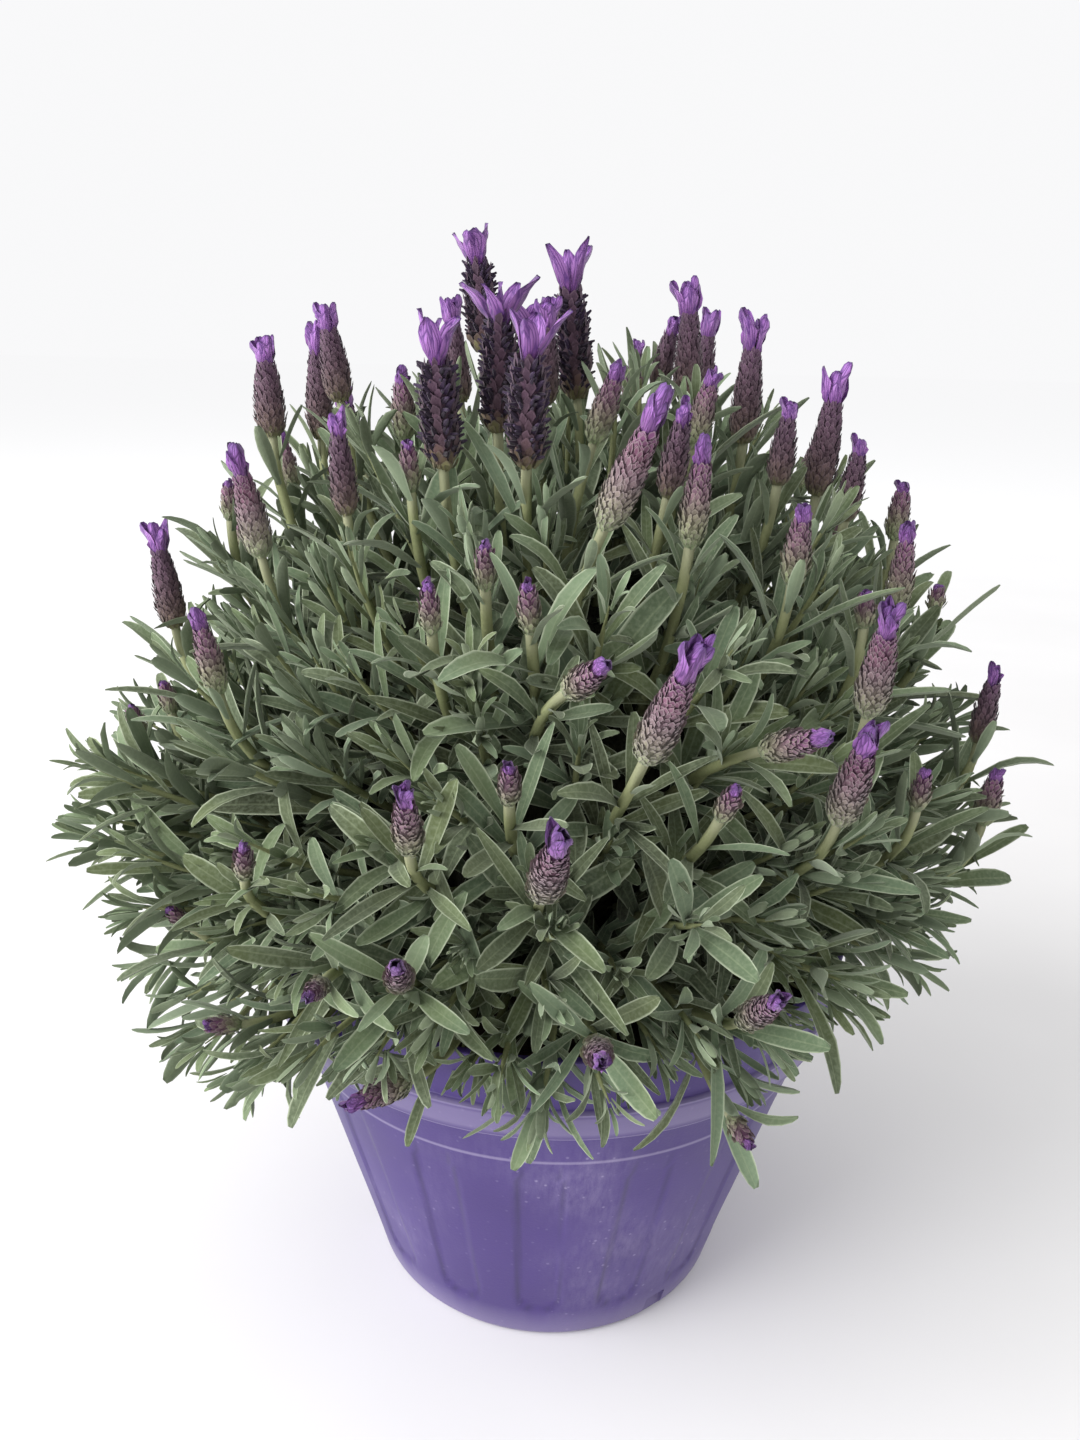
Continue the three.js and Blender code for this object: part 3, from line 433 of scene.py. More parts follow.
# %% Outline and spin
WALL_FOOT, WALL_HEAD = (73, 14), (95.7, 94)
POT_OUTLINE = [
    (0, 0), (18, 0), (20, 3), (56, 3), (58, 0), (68, 0), (70, 2.5), WALL_FOOT, WALL_HEAD, (98, 102),
    (101, 117.5), (107, 118), (109.5, 129), (107.5, 130), (111, 149), (109, 150), (105, 124),
    (104.3, 120.8), (98.3, 120), (95.5, 102), (67.5, 6), (0, 6),
]
POT_STEPS = 384
WALL_ROWS = 26
BEVEL_OVER = math.radians(24)
BEVEL_WIDTH = 0.5


def turned(points, steps, mark=None):
    """A body turned round the upright axis from an outline of radii and heights."""
    bm = bmesh.new()
    if mark:
        bm.verts.layers.float.new(mark)
    corners = [bm.verts.new((radius, 0, height)) for radius, height in points]
    edges = [bm.edges.new(pair) for pair in zip(corners, corners[1:])]
    bmesh.ops.spin(bm, geom=corners + edges, cent=(0, 0, 0), axis=(0, 0, 1), angle=2 * math.pi,
                   steps=steps, use_merge=True, use_duplicate=False)
    bmesh.ops.remove_doubles(bm, verts=bm.verts, dist=0.001)
    return bm


def spun_pot():
    bm = turned(POT_OUTLINE, POT_STEPS, mark="groove")
    ends = {WALL_FOOT[1], WALL_HEAD[1]}
    wall = [edge for edge in bm.edges if {round(vert.co.z, 1) for vert in edge.verts} == ends]
    bmesh.ops.subdivide_edges(bm, edges=wall, cuts=WALL_ROWS, use_grid_fill=True)
    bmesh.ops.recalc_face_normals(bm, faces=bm.faces)
    sharp = [edge for edge in bm.edges
             if edge.calc_face_angle(0) > BEVEL_OVER and edge.verts[0].co.xy.length > 1]
    bmesh.ops.bevel(bm, geom=sharp, offset=BEVEL_WIDTH, offset_type="OFFSET", segments=2, profile=0.5,
                    affect="EDGES", material=-1)
    return bm


pot_bm = spun_pot()
print(len(pot_bm.faces), "faces on the plain pot")

# %% [markdown]
# ## The flutes
# The real wall has shallow upright flutes with round ends. Moving the wall's own points inwards keeps
# it one skin, which a boolean with sixteen cutters wouldn't. Each point also learns how near it is to
# a flute's edge, where the plastic's recipe paints shade: a dark line for the shadow in the groove.

# %% Flutes
FLUTES = 16
FLUTE = {"depth": 0.8, "half": 7.6, "from": 16, "to": 98, "edge": 1.0}
SKIN_DEPTH = 1.5


def press_flutes(bm):
    flute_shade_mask = bm.verts.layers.float["groove"]
    low, high = FLUTE["from"] + FLUTE["half"], FLUTE["to"] - FLUTE["half"]
    slope = (WALL_HEAD[0] - WALL_FOOT[0]) / (WALL_HEAD[1] - WALL_FOOT[1])
    for vert in bm.verts:
        radius = vert.co.xy.length
        wall_here = WALL_FOOT[0] + (vert.co.z - WALL_FOOT[1]) * slope
        if radius < wall_here - SKIN_DEPTH or not FLUTE["from"] - 2 < vert.co.z < FLUTE["to"] + 2:
            continue
        turn = math.atan2(vert.co.x, -vert.co.y) * FLUTES / (2 * math.pi)
        across = (turn - round(turn)) * 2 * math.pi / FLUTES * radius
        beyond = max(low - vert.co.z, vert.co.z - high, 0)
        inside = (FLUTE["half"] - math.hypot(across, beyond)) / FLUTE["edge"]
        vert.co.xy *= 1 - FLUTE["depth"] * smoothly(inside + 0.5) / radius
        # This nearness marks where the plastic gets its painted shade of the groove.
        vert[flute_shade_mask] = max(1 - abs(inside), 0)


press_flutes(pot_bm)
print(FLUTES, "flutes,", FLUTE["depth"], "mm deep")

# %% [markdown]
# ## Drain holes and notches
# Water leaves the pot through round holes in its floor and small notches in its foot ring. They are
# true openings, so cutters of their shape are taken out by a boolean modifier, which is then applied.

# %% Holes and notches
DRAIN = {"holes": 5, "radius": 4.5, "ring": 38, "middle": 4, "depth": 20}
NOTCH = {"count": 3, "bearing": 38, "width": 9, "height": 10, "inner": 68.2, "block": 10}
SMOOTH_BELOW = math.radians(35)


def pot_cutter():
    bm = bmesh.new()
    for i in range(DRAIN["holes"]):
        angle = 2 * math.pi * (i + 0.5) / DRAIN["holes"]
        at = Vector((math.sin(angle), -math.cos(angle), 0)) * DRAIN["ring"]
        at.z = DRAIN["middle"]
        bmesh.ops.create_cone(bm, cap_ends=True, segments=24, radius1=DRAIN["radius"],
                              radius2=DRAIN["radius"], depth=DRAIN["depth"], matrix=Matrix.Translation(at))
    for i in range(NOTCH["count"]):
        turn = Matrix.Rotation(math.radians(NOTCH["bearing"] + 360 * i / NOTCH["count"]), 4, "Z")
        outwards = Matrix.Translation((0, -NOTCH["inner"] - NOTCH["block"] / 2, 0))
        size = Matrix.Diagonal((NOTCH["width"], NOTCH["block"], 2 * NOTCH["height"], 1))
        block = bmesh.ops.create_cube(bm, size=1, matrix=turn @ outwards @ size)
        edges = {edge for vert in block["verts"] for edge in vert.link_edges}
        bmesh.ops.bevel(bm, geom=list(edges), offset=1, segments=2, profile=0.5, affect="EDGES",
                        offset_type="OFFSET", material=-1)
    return bm


def cut_away(bm, cutter):
    """The first solid with the second taken out of it."""
    objects = []
    for name, source in (("whole", bm), ("cutter", cutter)):
        mesh = bpy.data.meshes.new(name)
        source.to_mesh(mesh)
        source.free()
        objects.append(bpy.data.objects.new(name, mesh))
        bpy.context.scene.collection.objects.link(objects[-1])
    whole, tool = objects
    cut = whole.modifiers.new("cut", "BOOLEAN")
    cut.object = tool
    cut.solver = "EXACT"
    made = bpy.data.meshes.new_from_object(whole.evaluated_get(bpy.context.evaluated_depsgraph_get()))
    result = bmesh.new()
    result.from_mesh(made)
    for thing in objects:
        bpy.data.meshes.remove(thing.data)
    bpy.data.meshes.remove(made)
    return result


pot_bm = cut_away(pot_bm, pot_cutter())
for face in pot_bm.faces:
    face.smooth = True
for edge in pot_bm.edges:
    edge.smooth = edge.calc_face_angle(0) < SMOOTH_BELOW
finish_piece("plastic_pot", pot_bm, [pot_plastic], ["pot"])

# %% [markdown]
# ## Potting mix
# The mix fills the pot nearly to the shelf in its wall. Its body is a spin with a rough top, and loose
# crumbs of peat and bark lie on it.

# %% Potting mix
MIX_OUTLINE = [
    (0, 6.4), (66.4, 6.4), (94.6, 102), (97.4, 119.2), (98.4, 121.2), (103.4, 121.3), (104.2, 126),
    (104.1, 133), (95, 134.6), (84, 134.4), (68, 134), (52, 133.8), (34, 134), (18, 134), (8.5, 134),
    (8.4, 112), (0, 111.4),
]
LUMPS = {"above": 132, "height": 1.4, "apart": 9}
CRUMBS = {"count": 260, "ring": 100, "height": 134.3}


def potting_mix():
    bm = turned(MIX_OUTLINE, 96)
    bmesh.ops.recalc_face_normals(bm, faces=bm.faces)
    for vert in bm.verts:
        if vert.co.z > LUMPS["above"]:
            vert.co.z += LUMPS["height"] * noise.noise(vert.co / LUMPS["apart"])
    chance = random.Random(21)
    for _ in range(CRUMBS["count"]):
        ring, angle = CRUMBS["ring"] * math.sqrt(chance.uniform(0.02, 1)), chance.uniform(0, 2 * math.pi)
        at = Matrix.Translation((ring * math.cos(angle), ring * math.sin(angle), CRUMBS["height"]))
        size = Matrix.Diagonal((chance.uniform(1, 3), chance.uniform(1, 2), chance.uniform(0.7, 1.3), 1))
        turn = Matrix.Rotation(chance.uniform(0, math.pi), 4, "Z")
        bmesh.ops.create_icosphere(bm, subdivisions=1, radius=1, matrix=at @ turn @ size)
    return bm


finish_piece("potting_mix", potting_mix(), [peat_mix], ["soil"])

# %% [markdown]
# ## The old stem
# Under the leaves a lavender is a small gnarled shrub. The trunk is a cone of many rings, pushed out
# of round by noise that is drawn out along its height, as bark is.

# %% Old stem
TRUNK = {"foot": 112.4, "top": 265, "radius": 7.2, "tip": 4.5, "rings": 40, "sides": 24}
BARK = {"across": 3, "along": 26, "relief": 0.12}


def old_stem():
    bm = bmesh.new()
    height = TRUNK["top"] - TRUNK["foot"]
    bmesh.ops.create_cone(bm, cap_ends=True, segments=TRUNK["sides"], radius1=TRUNK["radius"],
                          radius2=TRUNK["tip"], depth=height,
                          matrix=Matrix.Translation((0, 0, TRUNK["foot"] + height / 2)))
    rising = [edge for edge in bm.edges if abs(edge.verts[0].co.z - edge.verts[1].co.z) > 1]
    bmesh.ops.subdivide_edges(bm, edges=rising, cuts=TRUNK["rings"], use_grid_fill=True)
    for vert in bm.verts:
        x, y, z = vert.co
        bark = noise.noise(Vector((x / BARK["across"], y / BARK["across"], z / BARK["along"])))
        vert.co.xy *= 1 + BARK["relief"] * bark
    for face in bm.faces:
        face.smooth = True
    return bm


finish_piece("old_stem", old_stem(), [old_bark], ["woody_base"])

# %% [markdown]
# ## Where each flower stands
# The flowers of the front are placed one by one, as the model's own list has them: the bearing of the
# foot, its angle from the top of the bush, how far it stands out, the lean of its axis and the bearing
# it leans to, its length and its stage. Bearing 0 is the front and 90 the right. The back half, which
# the photograph doesn't show, follows the model's rule, with the same small generator of chance.

# %% Flower places
MIDDLE = 205
FEET = {"across": 140, "above": 132, "below": 132}
HEART = {"across": 115, "above": 103, "below": 108}
CROWN = Vector((0, 0, 150))
BRANCHES = 8
CROWN_ANGLE = math.radians(54)
TOP_CUT = MIDDLE + HEART["above"] * math.cos(CROWN_ANGLE)
LOOSE_HEAD = 26
FRONT_FLOWERS = [
    (-83, 11, 15, 5, -83, 42, "open"), (-18, 26, 4, 11, 6, 46, "open"), (-7, 34, 6, 15, 3, 44, "open"),
    (7, 8, 0, 7, -56, 48, "open"), (-25, 34, 4, 14, -6, 44, "open"), (-15, 13, 0, 6, 11, 32, "full"),
    (-91, 17, 0, 7, 105, 14, "bud"), (-53, 27, 0, 6, -8, 22, "young"), (92, 16, 3, 2, -119, 40, "full"),
    (114, 13, 4, 11, 90, 26, "young"), (97, 9, 1, 2, 90, 10, "bud"), (8, 25, 0, 20, 54, 25, "young"),
    (7, 43, 6, 30, 41, 42, "full"), (21, 36, 0, 17, 23, 28, "young"), (38, 26, 0, 16, 51, 24, "young"),
    (20, 45, 4, 19, 8, 31, "young"), (65, 26, 0, 4, 15, 40, "full"), (53, 35, 0, 9, 21, 26, "young"),
    (66, 38, 0, 6, 41, 40, "full"), (67, 43, 0, 7, 45, 27, "young"), (37, 50, 0, 16, 2, 25, "young"),
    (82, 50, 5, 4, 126, 20, "young"), (59, 57, 0, 8, -2, 30, "young"), (79, 61, 4, 4, 140, 9, "bud"),
    (48, 57, 0, 14, -22, 12, "bud"), (40, 67, 4, 19, 1, 36, "full"), (73, 79, 7, 4, 70, 27, "young"),
    (69, 89, 9, 6, 87, 20, "young"), (50, 81, 0, 15, -4, 15, "bud"), (33, 78, 4, 26, 7, 37, "full"),
    (24, 69, 4, 64, 28, 28, "young"), (19, 76, 0, 35, 17, 15, "bud"), (10, 69, 8, 36, 20, 45, "full"),
    (2, 62, 4, 57, 30, 22, "young"), (-3, 55, 0, 26, -7, 17, "bud"), (-10, 50, 0, 22, 2, 15, "bud"),
    (-16, 56, 0, 24, 0, 17, "bud"), (-4, 74, 0, 35, 3, 18, "bud"), (0, 83, 6, 44, 10, 42, "full"),
    (-14, 80, 4, 37, 6, 31, "young"), (-38, 90, 0, 27, 19, 16, "bud"), (-15, 96, 4, 50, 8, 28, "young"),
    (-25, 99, 4, 72, 0, 18, "bud"), (-16, 112, 5, 74, -30, 27, "young"), (6, 102, 6, 62, 2, 30, "young"),
    (22, 100, 6, 48, 12, 34, "young"), (24, 116, 10, 95, 20, 13, "bud"), (-42, 112, 10, 72, -50, 12, "bud"),
    (-49, 69, 0, 15, -23, 28, "young"), (-75, 67, 6, 8, -100, 36, "full"),
    (-58, 51, 0, 12, -42, 35, "full"), (-79, 51, 8, 3, -160, 14, "bud"), (-94, 57, 0, 7, -103, 18, "young"),
    (-68, 39, 19, 3, -108, 31, "full"), (-98, 37, 10, 2, -135, 42, "full"),
    (-82, 30, 15, 8, -85, 32, "full"), (-42, 42, 0, 12, -10, 31, "young"),
    (-84, 43, 0, 9, -91, 22, "young"), (-70, 78, 0, 10, -82, 12, "bud"), (-70, 82, 9, 10, -89, 12, "bud"),
    (-56, 105, 4, 40, -58, 12, "bud"), (-31, 37, 0, 13, -4, 16, "bud"),
]
BACK_TIERS = [
    (22, ["full", "young", "open", "full"]),
    (42, ["young", "full", "bud", "open", "full"]),
    (63, ["full", "young", "bud", "full", "young", "bud"]),
    (84, ["bud", "young", "full", "bud", "young"]),
    (106, ["young", "bud", "bud"]),
]
BACK_LENGTHS = {"open": 44, "full": 37, "young": 25, "bud": 14}
BACK_ARC = (106, 254)


def seeded_draw(state):
    """A small generator that gives the same shares of 1 as the model's."""
    mask = 0xFFFFFFFF

    def draw():
        nonlocal state
        state = (state + 0x6D2B79F5) & mask
        mixed = ((state ^ state >> 15) * (1 | state)) & mask
        mixed = (mixed + (mixed ^ mixed >> 7) * (61 | mixed) & mask ^ mixed) & mask
        return (mixed ^ mixed >> 14) / 2 ** 32
    return draw


def leaning(lean, bearing):
    """The direction that leans that many degrees from upright, towards a bearing."""
    lean, bearing = math.radians(lean), math.radians(bearing)
    return Vector((math.sin(lean) * math.sin(bearing), -math.sin(lean) * math.cos(bearing), math.cos(lean)))


def on_ellipsoid(size, bearing, from_top, proud=0):
    way = leaning(from_top, bearing)
    height = size["above"] if way.z > 0 else size["below"]
    across = size["across"] + proud
    return Vector((way.x * across, way.y * across, MIDDLE + way.z * (height + proud)))


def all_flowers():
    rows = list(FRONT_FLOWERS)
    draw = seeded_draw(11)

    def between(low, high):
        return low + (high - low) * draw()

    for tier, stages in BACK_TIERS:
        for i, stage in enumerate(stages):
            bearing = BACK_ARC[0] + (BACK_ARC[1] - BACK_ARC[0]) * (i + 0.5) / len(stages) + between(-6, 6)
            rows.append((bearing, tier + between(-5, 5), between(0, 6), tier * 0.3 + between(0, 8),
                         bearing + between(-25, 25), BACK_LENGTHS[stage] * between(0.92, 1.08), stage))
    return [{
        "bearing": bearing, "from_top": from_top, "length": length, "stage": stage,
        "foot": on_ellipsoid(FEET, bearing, from_top, proud), "axis": leaning(lean, lean_bearing),
    } for bearing, from_top, proud, lean, lean_bearing, length, stage in rows]


flowers = all_flowers()
loose = [flower for flower in flowers if flower["length"] >= LOOSE_HEAD and flower["stage"] != "bud"]
worst = 0
for number, flower in enumerate(loose, 1):
    flower["node"] = f"flower_head_{number:02d}"
    low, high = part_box(flower["node"])
    middle = flower["foot"] + flower["axis"] * flower["length"] / 2
    worst = max(worst, ((low + high) / 2 / MM - middle).length)
print(len(flowers), "flowers,", len(loose), "loose, their middles at most", round(worst, 1), "mm off")

# %% [markdown]
# ## Templates: make once, copy often
# The bush has thousands of leaves. Each kind of leaf is modelled once as a small template, and copies
# of it are turned, scaled and joined. A blade is a grid for its upper skin and a copy of the grid for
# its lower one. Both skins share their rim, which is marked sharp, and the lower skin hangs a little
# below, so that the blade is a thin closed solid. Several blades of each kind, bent differently, keep
# the copies from looking alike.

# %% Blade template
TIP_CROWDING = 1.5
FOOT_WIDTH = 0.42
TIP_FROM = 0.7
RAGGED = {"across": 1.3, "along": 7}
CREASED = {"across": 3.4, "along": 3}


def outline(share, blunt, widest):
    """The width of a blade along its length, from a narrow foot to a blunt or a pointed tip."""
    rise = FOOT_WIDTH + (1 - FOOT_WIDTH) * smoothly(share / widest)
    past = max(share - widest, 0) / (1 - widest)
    rounded = math.sqrt(max(1 - 0.9 * past ** 2.4, 0))
    pointed = 1 - 0.95 * past ** 1.4
    return rise * (blunt * rounded + (1 - blunt) * pointed)


def blade(name, length, width, rows, columns=2, blunt=0.7, widest=0.62, arch=0.4, fold=0.3, twist=0.0,
          thick=0.5, crumple=0.0):
    """A closed blade that starts at the origin along +Y, with its upper side up."""
    bm = bmesh.new()
    uv = bm.loops.layers.uv.new("UVMap")
    nearness = bm.verts.layers.float.new("edge")
    bmesh.ops.create_grid(bm, x_segments=columns, y_segments=rows, size=0.5, calc_uvs=True)
    for edge in bm.edges:
        edge.smooth = not edge.is_boundary
    copied = bmesh.ops.duplicate(bm, geom=bm.faces[:])
    lower_faces = [item for item in copied["geom"] if isinstance(item, bmesh.types.BMFace)]
    bmesh.ops.reverse_faces(bm, faces=lower_faces)
    for face in lower_faces:
        for loop in face.loops:
            loop[uv].uv.x += 1
    lower = {vert for face in lower_faces for vert in face.verts if not vert.is_boundary}
    for vert in bm.verts:
        across, along = 2 * vert.co.x, 1 - (0.5 - vert.co.y) ** TIP_CROWDING
        ragged = noise.noise(Vector((RAGGED["across"] * across, RAGGED["along"] * along, length)))
        half = width / 2 * outline(along, blunt, widest) * (1 + 0.5 * crumple * ragged)
        vert[nearness] = max(abs(across), (along - TIP_FROM) / (1 - TIP_FROM))
        creased = noise.noise(Vector((CREASED["across"] * across, CREASED["along"] * along, length + width)))
        rise = fold * abs(across) * half + 0.5 * crumple * width * creased
        if vert in lower:
            rise -= thick * math.sqrt(1 - abs(across))
        turn = twist * along
        side = across * half
        vert.co = Vector((
            side * math.cos(turn) - rise * math.sin(turn),
            length * (along - arch * arch * along ** 5 / 10),
            rise * math.cos(turn) + side * math.sin(turn) - length * arch * along ** 3 / 3,
        ))
    bmesh.ops.remove_doubles(bm, verts=[vert for vert in bm.verts if vert not in lower], dist=0.001)
    for face in bm.faces:
        face.smooth = True
    return template(name, bm)


def template(name, bm):
    """A small mesh to copy, with the marks that its copies carry."""
    mesh = bpy.data.meshes.new(name)
    bm.to_mesh(mesh)
    bm.free()
    for mark in ("tint", "age", "along", "edge"):
        if mark not in mesh.attributes:
            mesh.attributes.new(mark, "FLOAT", "POINT")
    return mesh


def stamp(target, source, place, material=0, **marks):
    """Joins a copy of a template to a bmesh, at its place, with its marks."""
    copy = source.copy()
    copy.transform(place)
    for mark, value in marks.items():
        values = value if isinstance(value, list) else [value] * len(copy.vertices)
        copy.attributes[mark].data.foreach_set("value", values)
    if material:
        copy.polygons.foreach_set("material_index", [material] * len(copy.polygons))
    target.from_mesh(copy)
    bpy.data.meshes.remove(copy)


print("a blade's foot is", FOOT_WIDTH, "of its width")

# %% Leaf templates
LEAVES = [
    blade("leaf_upright", 31, 5.4, 6, blunt=1, widest=0.62, arch=0.1, fold=0.42, twist=0.1, crumple=0.1),
    blade("leaf_arched", 34, 5.2, 6, blunt=0.8, widest=0.6, arch=0.55, fold=0.36, twist=-0.2, crumple=0.15),
    blade("leaf_recurved", 30, 5.6, 6, blunt=1, widest=0.62, arch=0.95, fold=0.36, twist=0.2, crumple=0.2),
    blade("leaf_slender", 35, 4.2, 6, blunt=0.6, widest=0.55, arch=0.35, fold=0.45, twist=0.3),
    blade("leaf_incurved", 30, 5.4, 6, blunt=0.95, widest=0.6, arch=-0.35, fold=0.5, twist=-0.15,
          crumple=0.1),
    blade("leaf_wide", 33, 7.2, 6, blunt=1, widest=0.6, arch=0.4, fold=0.3, twist=-0.15, crumple=0.15),
]
NARROW_LEAVES = [
    blade("narrow_leaf_upright", 26, 4.8, 4, blunt=1, widest=0.6, arch=-0.1, fold=0.5, twist=0.1),
    blade("narrow_leaf_incurved", 25, 4.6, 4, blunt=1, widest=0.6, arch=-0.5, fold=0.55, twist=-0.15),
    blade("narrow_leaf_arched", 27, 5.0, 4, blunt=0.9, widest=0.55, arch=0.5, fold=0.45, twist=0.2),
]
SMALL_LEAVES = [
    blade("tuft_leaf_straight", 13, 3.0, 3, blunt=1, widest=0.55, arch=0.1, fold=0.45),
    blade("tuft_leaf_arched", 14, 3.1, 3, blunt=0.9, widest=0.55, arch=0.6, fold=0.4, twist=0.2),
    blade("tuft_leaf_incurved", 12, 2.9, 3, blunt=1, widest=0.55, arch=-0.4, fold=0.5, twist=-0.2),
]
LENGTHS = {"leaf": 31, "narrow": 26, "tuft": 13}
print(len(LEAVES[0].polygons), "faces on a leaf,", len(SMALL_LEAVES[0].polygons), "on a small one")

# %% [markdown]
# ## Stems as curves
# A shoot leaves the crown of the plant, runs outwards through the bush and turns up at its end. That
# is a cubic curve with one handle at each end. Walking back from the tip in short steps gives the
# points where leaves and rings of the stem go. The stem itself is one straight template that is bent
# along those points.

# %% Shoots
STEP = 2.0
FINE_STEPS = 160
STEM_RINGS = 9
FOOT_SHARE = 0.3
FOOT_HANDLE, TIP_HANDLE = 0.35, 0.42
CLEAR_OF_RIM = 160
RISE_OVER_RIM = 3


def stem_template():
    bm = bmesh.new()
    bmesh.ops.create_cone(bm, cap_ends=True, segments=6, radius1=1, radius2=1, depth=1,
                          matrix=Matrix.Translation((0, 0, 0.5)))
    rising = [edge for edge in bm.edges if abs(edge.verts[0].co.z - edge.verts[1].co.z) > 0.5]
    bmesh.ops.subdivide_edges(bm, edges=rising, cuts=STEM_RINGS, use_grid_fill=True)
    for face in bm.faces:
        face.smooth = len(face.verts) == 4
    return template("stem", bm)


straight_stem = stem_template()


def spine(foot, first, second, tip):
    """Points every few millimetres from the tip of a cubic curve back to its foot."""
    def at(share):
        rest = 1 - share
        return (foot * rest ** 3 + 3 * first * share * rest ** 2 + 3 * second * share ** 2 * rest
                + tip * share ** 3)

    fine = [at(1 - i / FINE_STEPS) for i in range(FINE_STEPS + 1)]
    points, travelled = [fine[0]], 0
    for here, onward in zip(fine, fine[1:]):
        travelled += (onward - here).length
        if travelled >= STEP:
            points.append(onward)
            travelled = 0
    return points


def on_spine(points, distance):
    """The point of a spine at a distance from its tip, and the direction there towards the tip."""
    place = min(max(distance / STEP, 0), len(points) - 1.001)
    i = int(place)
    ahead_of = points[max(i - 1, 0)] - points[min(i + 1, len(points) - 1)]
    return points[i].lerp(points[i + 1], place - i), ahead_of.normalized()


def bend_stem(target, points, start, end, thin, thick, age_from, age_to):
    """A stem between two distances from the tip of a spine."""
    copy = straight_stem.copy()
    ages = []
    for vert in copy.vertices:
        share = vert.co.z
        centre, way = on_spine(points, start + share * (end - start))
        side = way.cross(Vector((0.3, 0.2, 1))).normalized()
        radius = thin + share * (thick - thin)
        vert.co = centre + radius * (side * vert.co.x - way.cross(side) * vert.co.y)
        ages.append(age_from + share * (age_to - age_from))
    stamp(target, copy, Matrix(), material=1, age=ages, tint=0.5)
    bpy.data.meshes.remove(copy)


def shoot_spine(tip, axis):
    """The way of a shoot from near the crown of the plant: a low one rises over the pot's rim first."""
    foot = CROWN.lerp(tip, FOOT_SHARE)
    reach = (tip - foot).length
    over_rim = Vector((0, 0, RISE_OVER_RIM * max(CLEAR_OF_RIM - tip.z, 0)))
    first = foot + (tip - CROWN).normalized() * reach * FOOT_HANDLE + over_rim
    return spine(foot, first, tip - axis * reach * TIP_HANDLE, tip)


print(len(straight_stem.polygons), "faces on a stem")

# %% [markdown]
# ## Where the leafy shoots end
# Most shoots carry no flower. Their tips are spread over the bush by the golden angle, which leaves
# equal room around each, and a little chance breaks the pattern up. A tip that would come out within a
# flower's foot is left out. A skirt of further shoots hangs over the rim, shorter on the right, and on
# the left long sprays reach out and hang down. A comb shoot is dense with short narrow leaves, and a
# broad one has longer ones further apart. All that stand well out of the bush are broad.

# %% Leafy shoots
SHOOT_COUNT = 310
SKIRT = {"count": 52, "from_top": (98, 117), "proud": (2, 20), "shorter_right": 14}
SPRAYS = [
    {"count": 16, "from_top": (80, 102), "proud": (12, 26), "bearing": (-104, -52)},
    {"count": 6, "from_top": (112, 119), "proud": (18, 27), "bearing": (-74, -30)},
]
LOWEST_SHOOT = 122
ROOM_AT_FLOWERS = 11
COMB_SHARE = 0.5
COMB_PROUD = 6
GOLDEN_ANGLE = 137.508
LEAN = {"top_share": 0.62, "side": 56, "droop": 2.6, "most": 104}

chance = random.Random(7)


def leafy_places():
    """The bearing of each leafy tip, its angle from the top and how far it stands out."""
    lowest = math.cos(math.radians(LOWEST_SHOOT))
    for i in range(SHOOT_COUNT):
        height = 1 - (1 - lowest) * (i + 0.5) / SHOOT_COUNT
        from_top = math.degrees(math.acos(height)) + chance.uniform(-3.5, 3.5)
        yield i * GOLDEN_ANGLE + chance.uniform(-4, 4), from_top, chance.uniform(-16, 9)
    for i in range(SKIRT["count"]):
        bearing, from_top = i * GOLDEN_ANGLE, chance.uniform(*SKIRT["from_top"])
        shorter = SKIRT["shorter_right"] * max(math.sin(math.radians(bearing)), 0)
        yield bearing, from_top, chance.uniform(*SKIRT["proud"]) - shorter
    for spray in SPRAYS:
        low, high = spray["bearing"]
        for i in range(spray["count"]):
            bearing = low + (high - low) * (i + 0.5) / spray["count"]
            yield bearing, chance.uniform(*spray["from_top"]), chance.uniform(*spray["proud"])


def lean_at(from_top):
    """How far a shoot leans from upright: little near the top, and out over the rim low down."""
    if from_top < 90:
        return from_top * LEAN["top_share"]
    return min(LEAN["side"] + (from_top - 90) * LEAN["droop"], LEAN["most"])


def leafy_shoots():
    shoots = []
    for bearing, from_top, proud in leafy_places():
        tip = on_ellipsoid(FEET, bearing, from_top, proud)
        axis = leaning(lean_at(from_top) + chance.uniform(-9, 9), bearing + chance.uniform(-14, 14))
        near = min((tip - flower["foot"]).length for flower in flowers)
        if near > ROOM_AT_FLOWERS:
            habit = "comb" if chance.random() < COMB_SHARE and proud < COMB_PROUD else "broad"
            shoots.append({"tip": tip, "axis": axis, "bare": 0, "habit": habit})
    return shoots


BARE = {"open": (9, 20), "full": (7, 17), "young": (4, 10), "bud": (2, 6)}
shoots = leafy_shoots()
for flower in flowers:
    shoots.append({
        "tip": flower["foot"], "axis": flower["axis"], "bare": chance.uniform(*BARE[flower["stage"]]),
        "habit": "flowering",
    })
print(len(shoots), "shoots in all")

# %% [markdown]
# ## Growing the leaves
# Lavender leaves stand in pairs, each pair at a right angle to the one before. They are small and
# upright at the tip, and longer and more open further back. In many of their armpits sits a tuft of
# short young leaves. A leaf that would run through a flower, the pot's wall or the mix isn't grown:
# a tree of the flowers' points answers how near the next flower is.

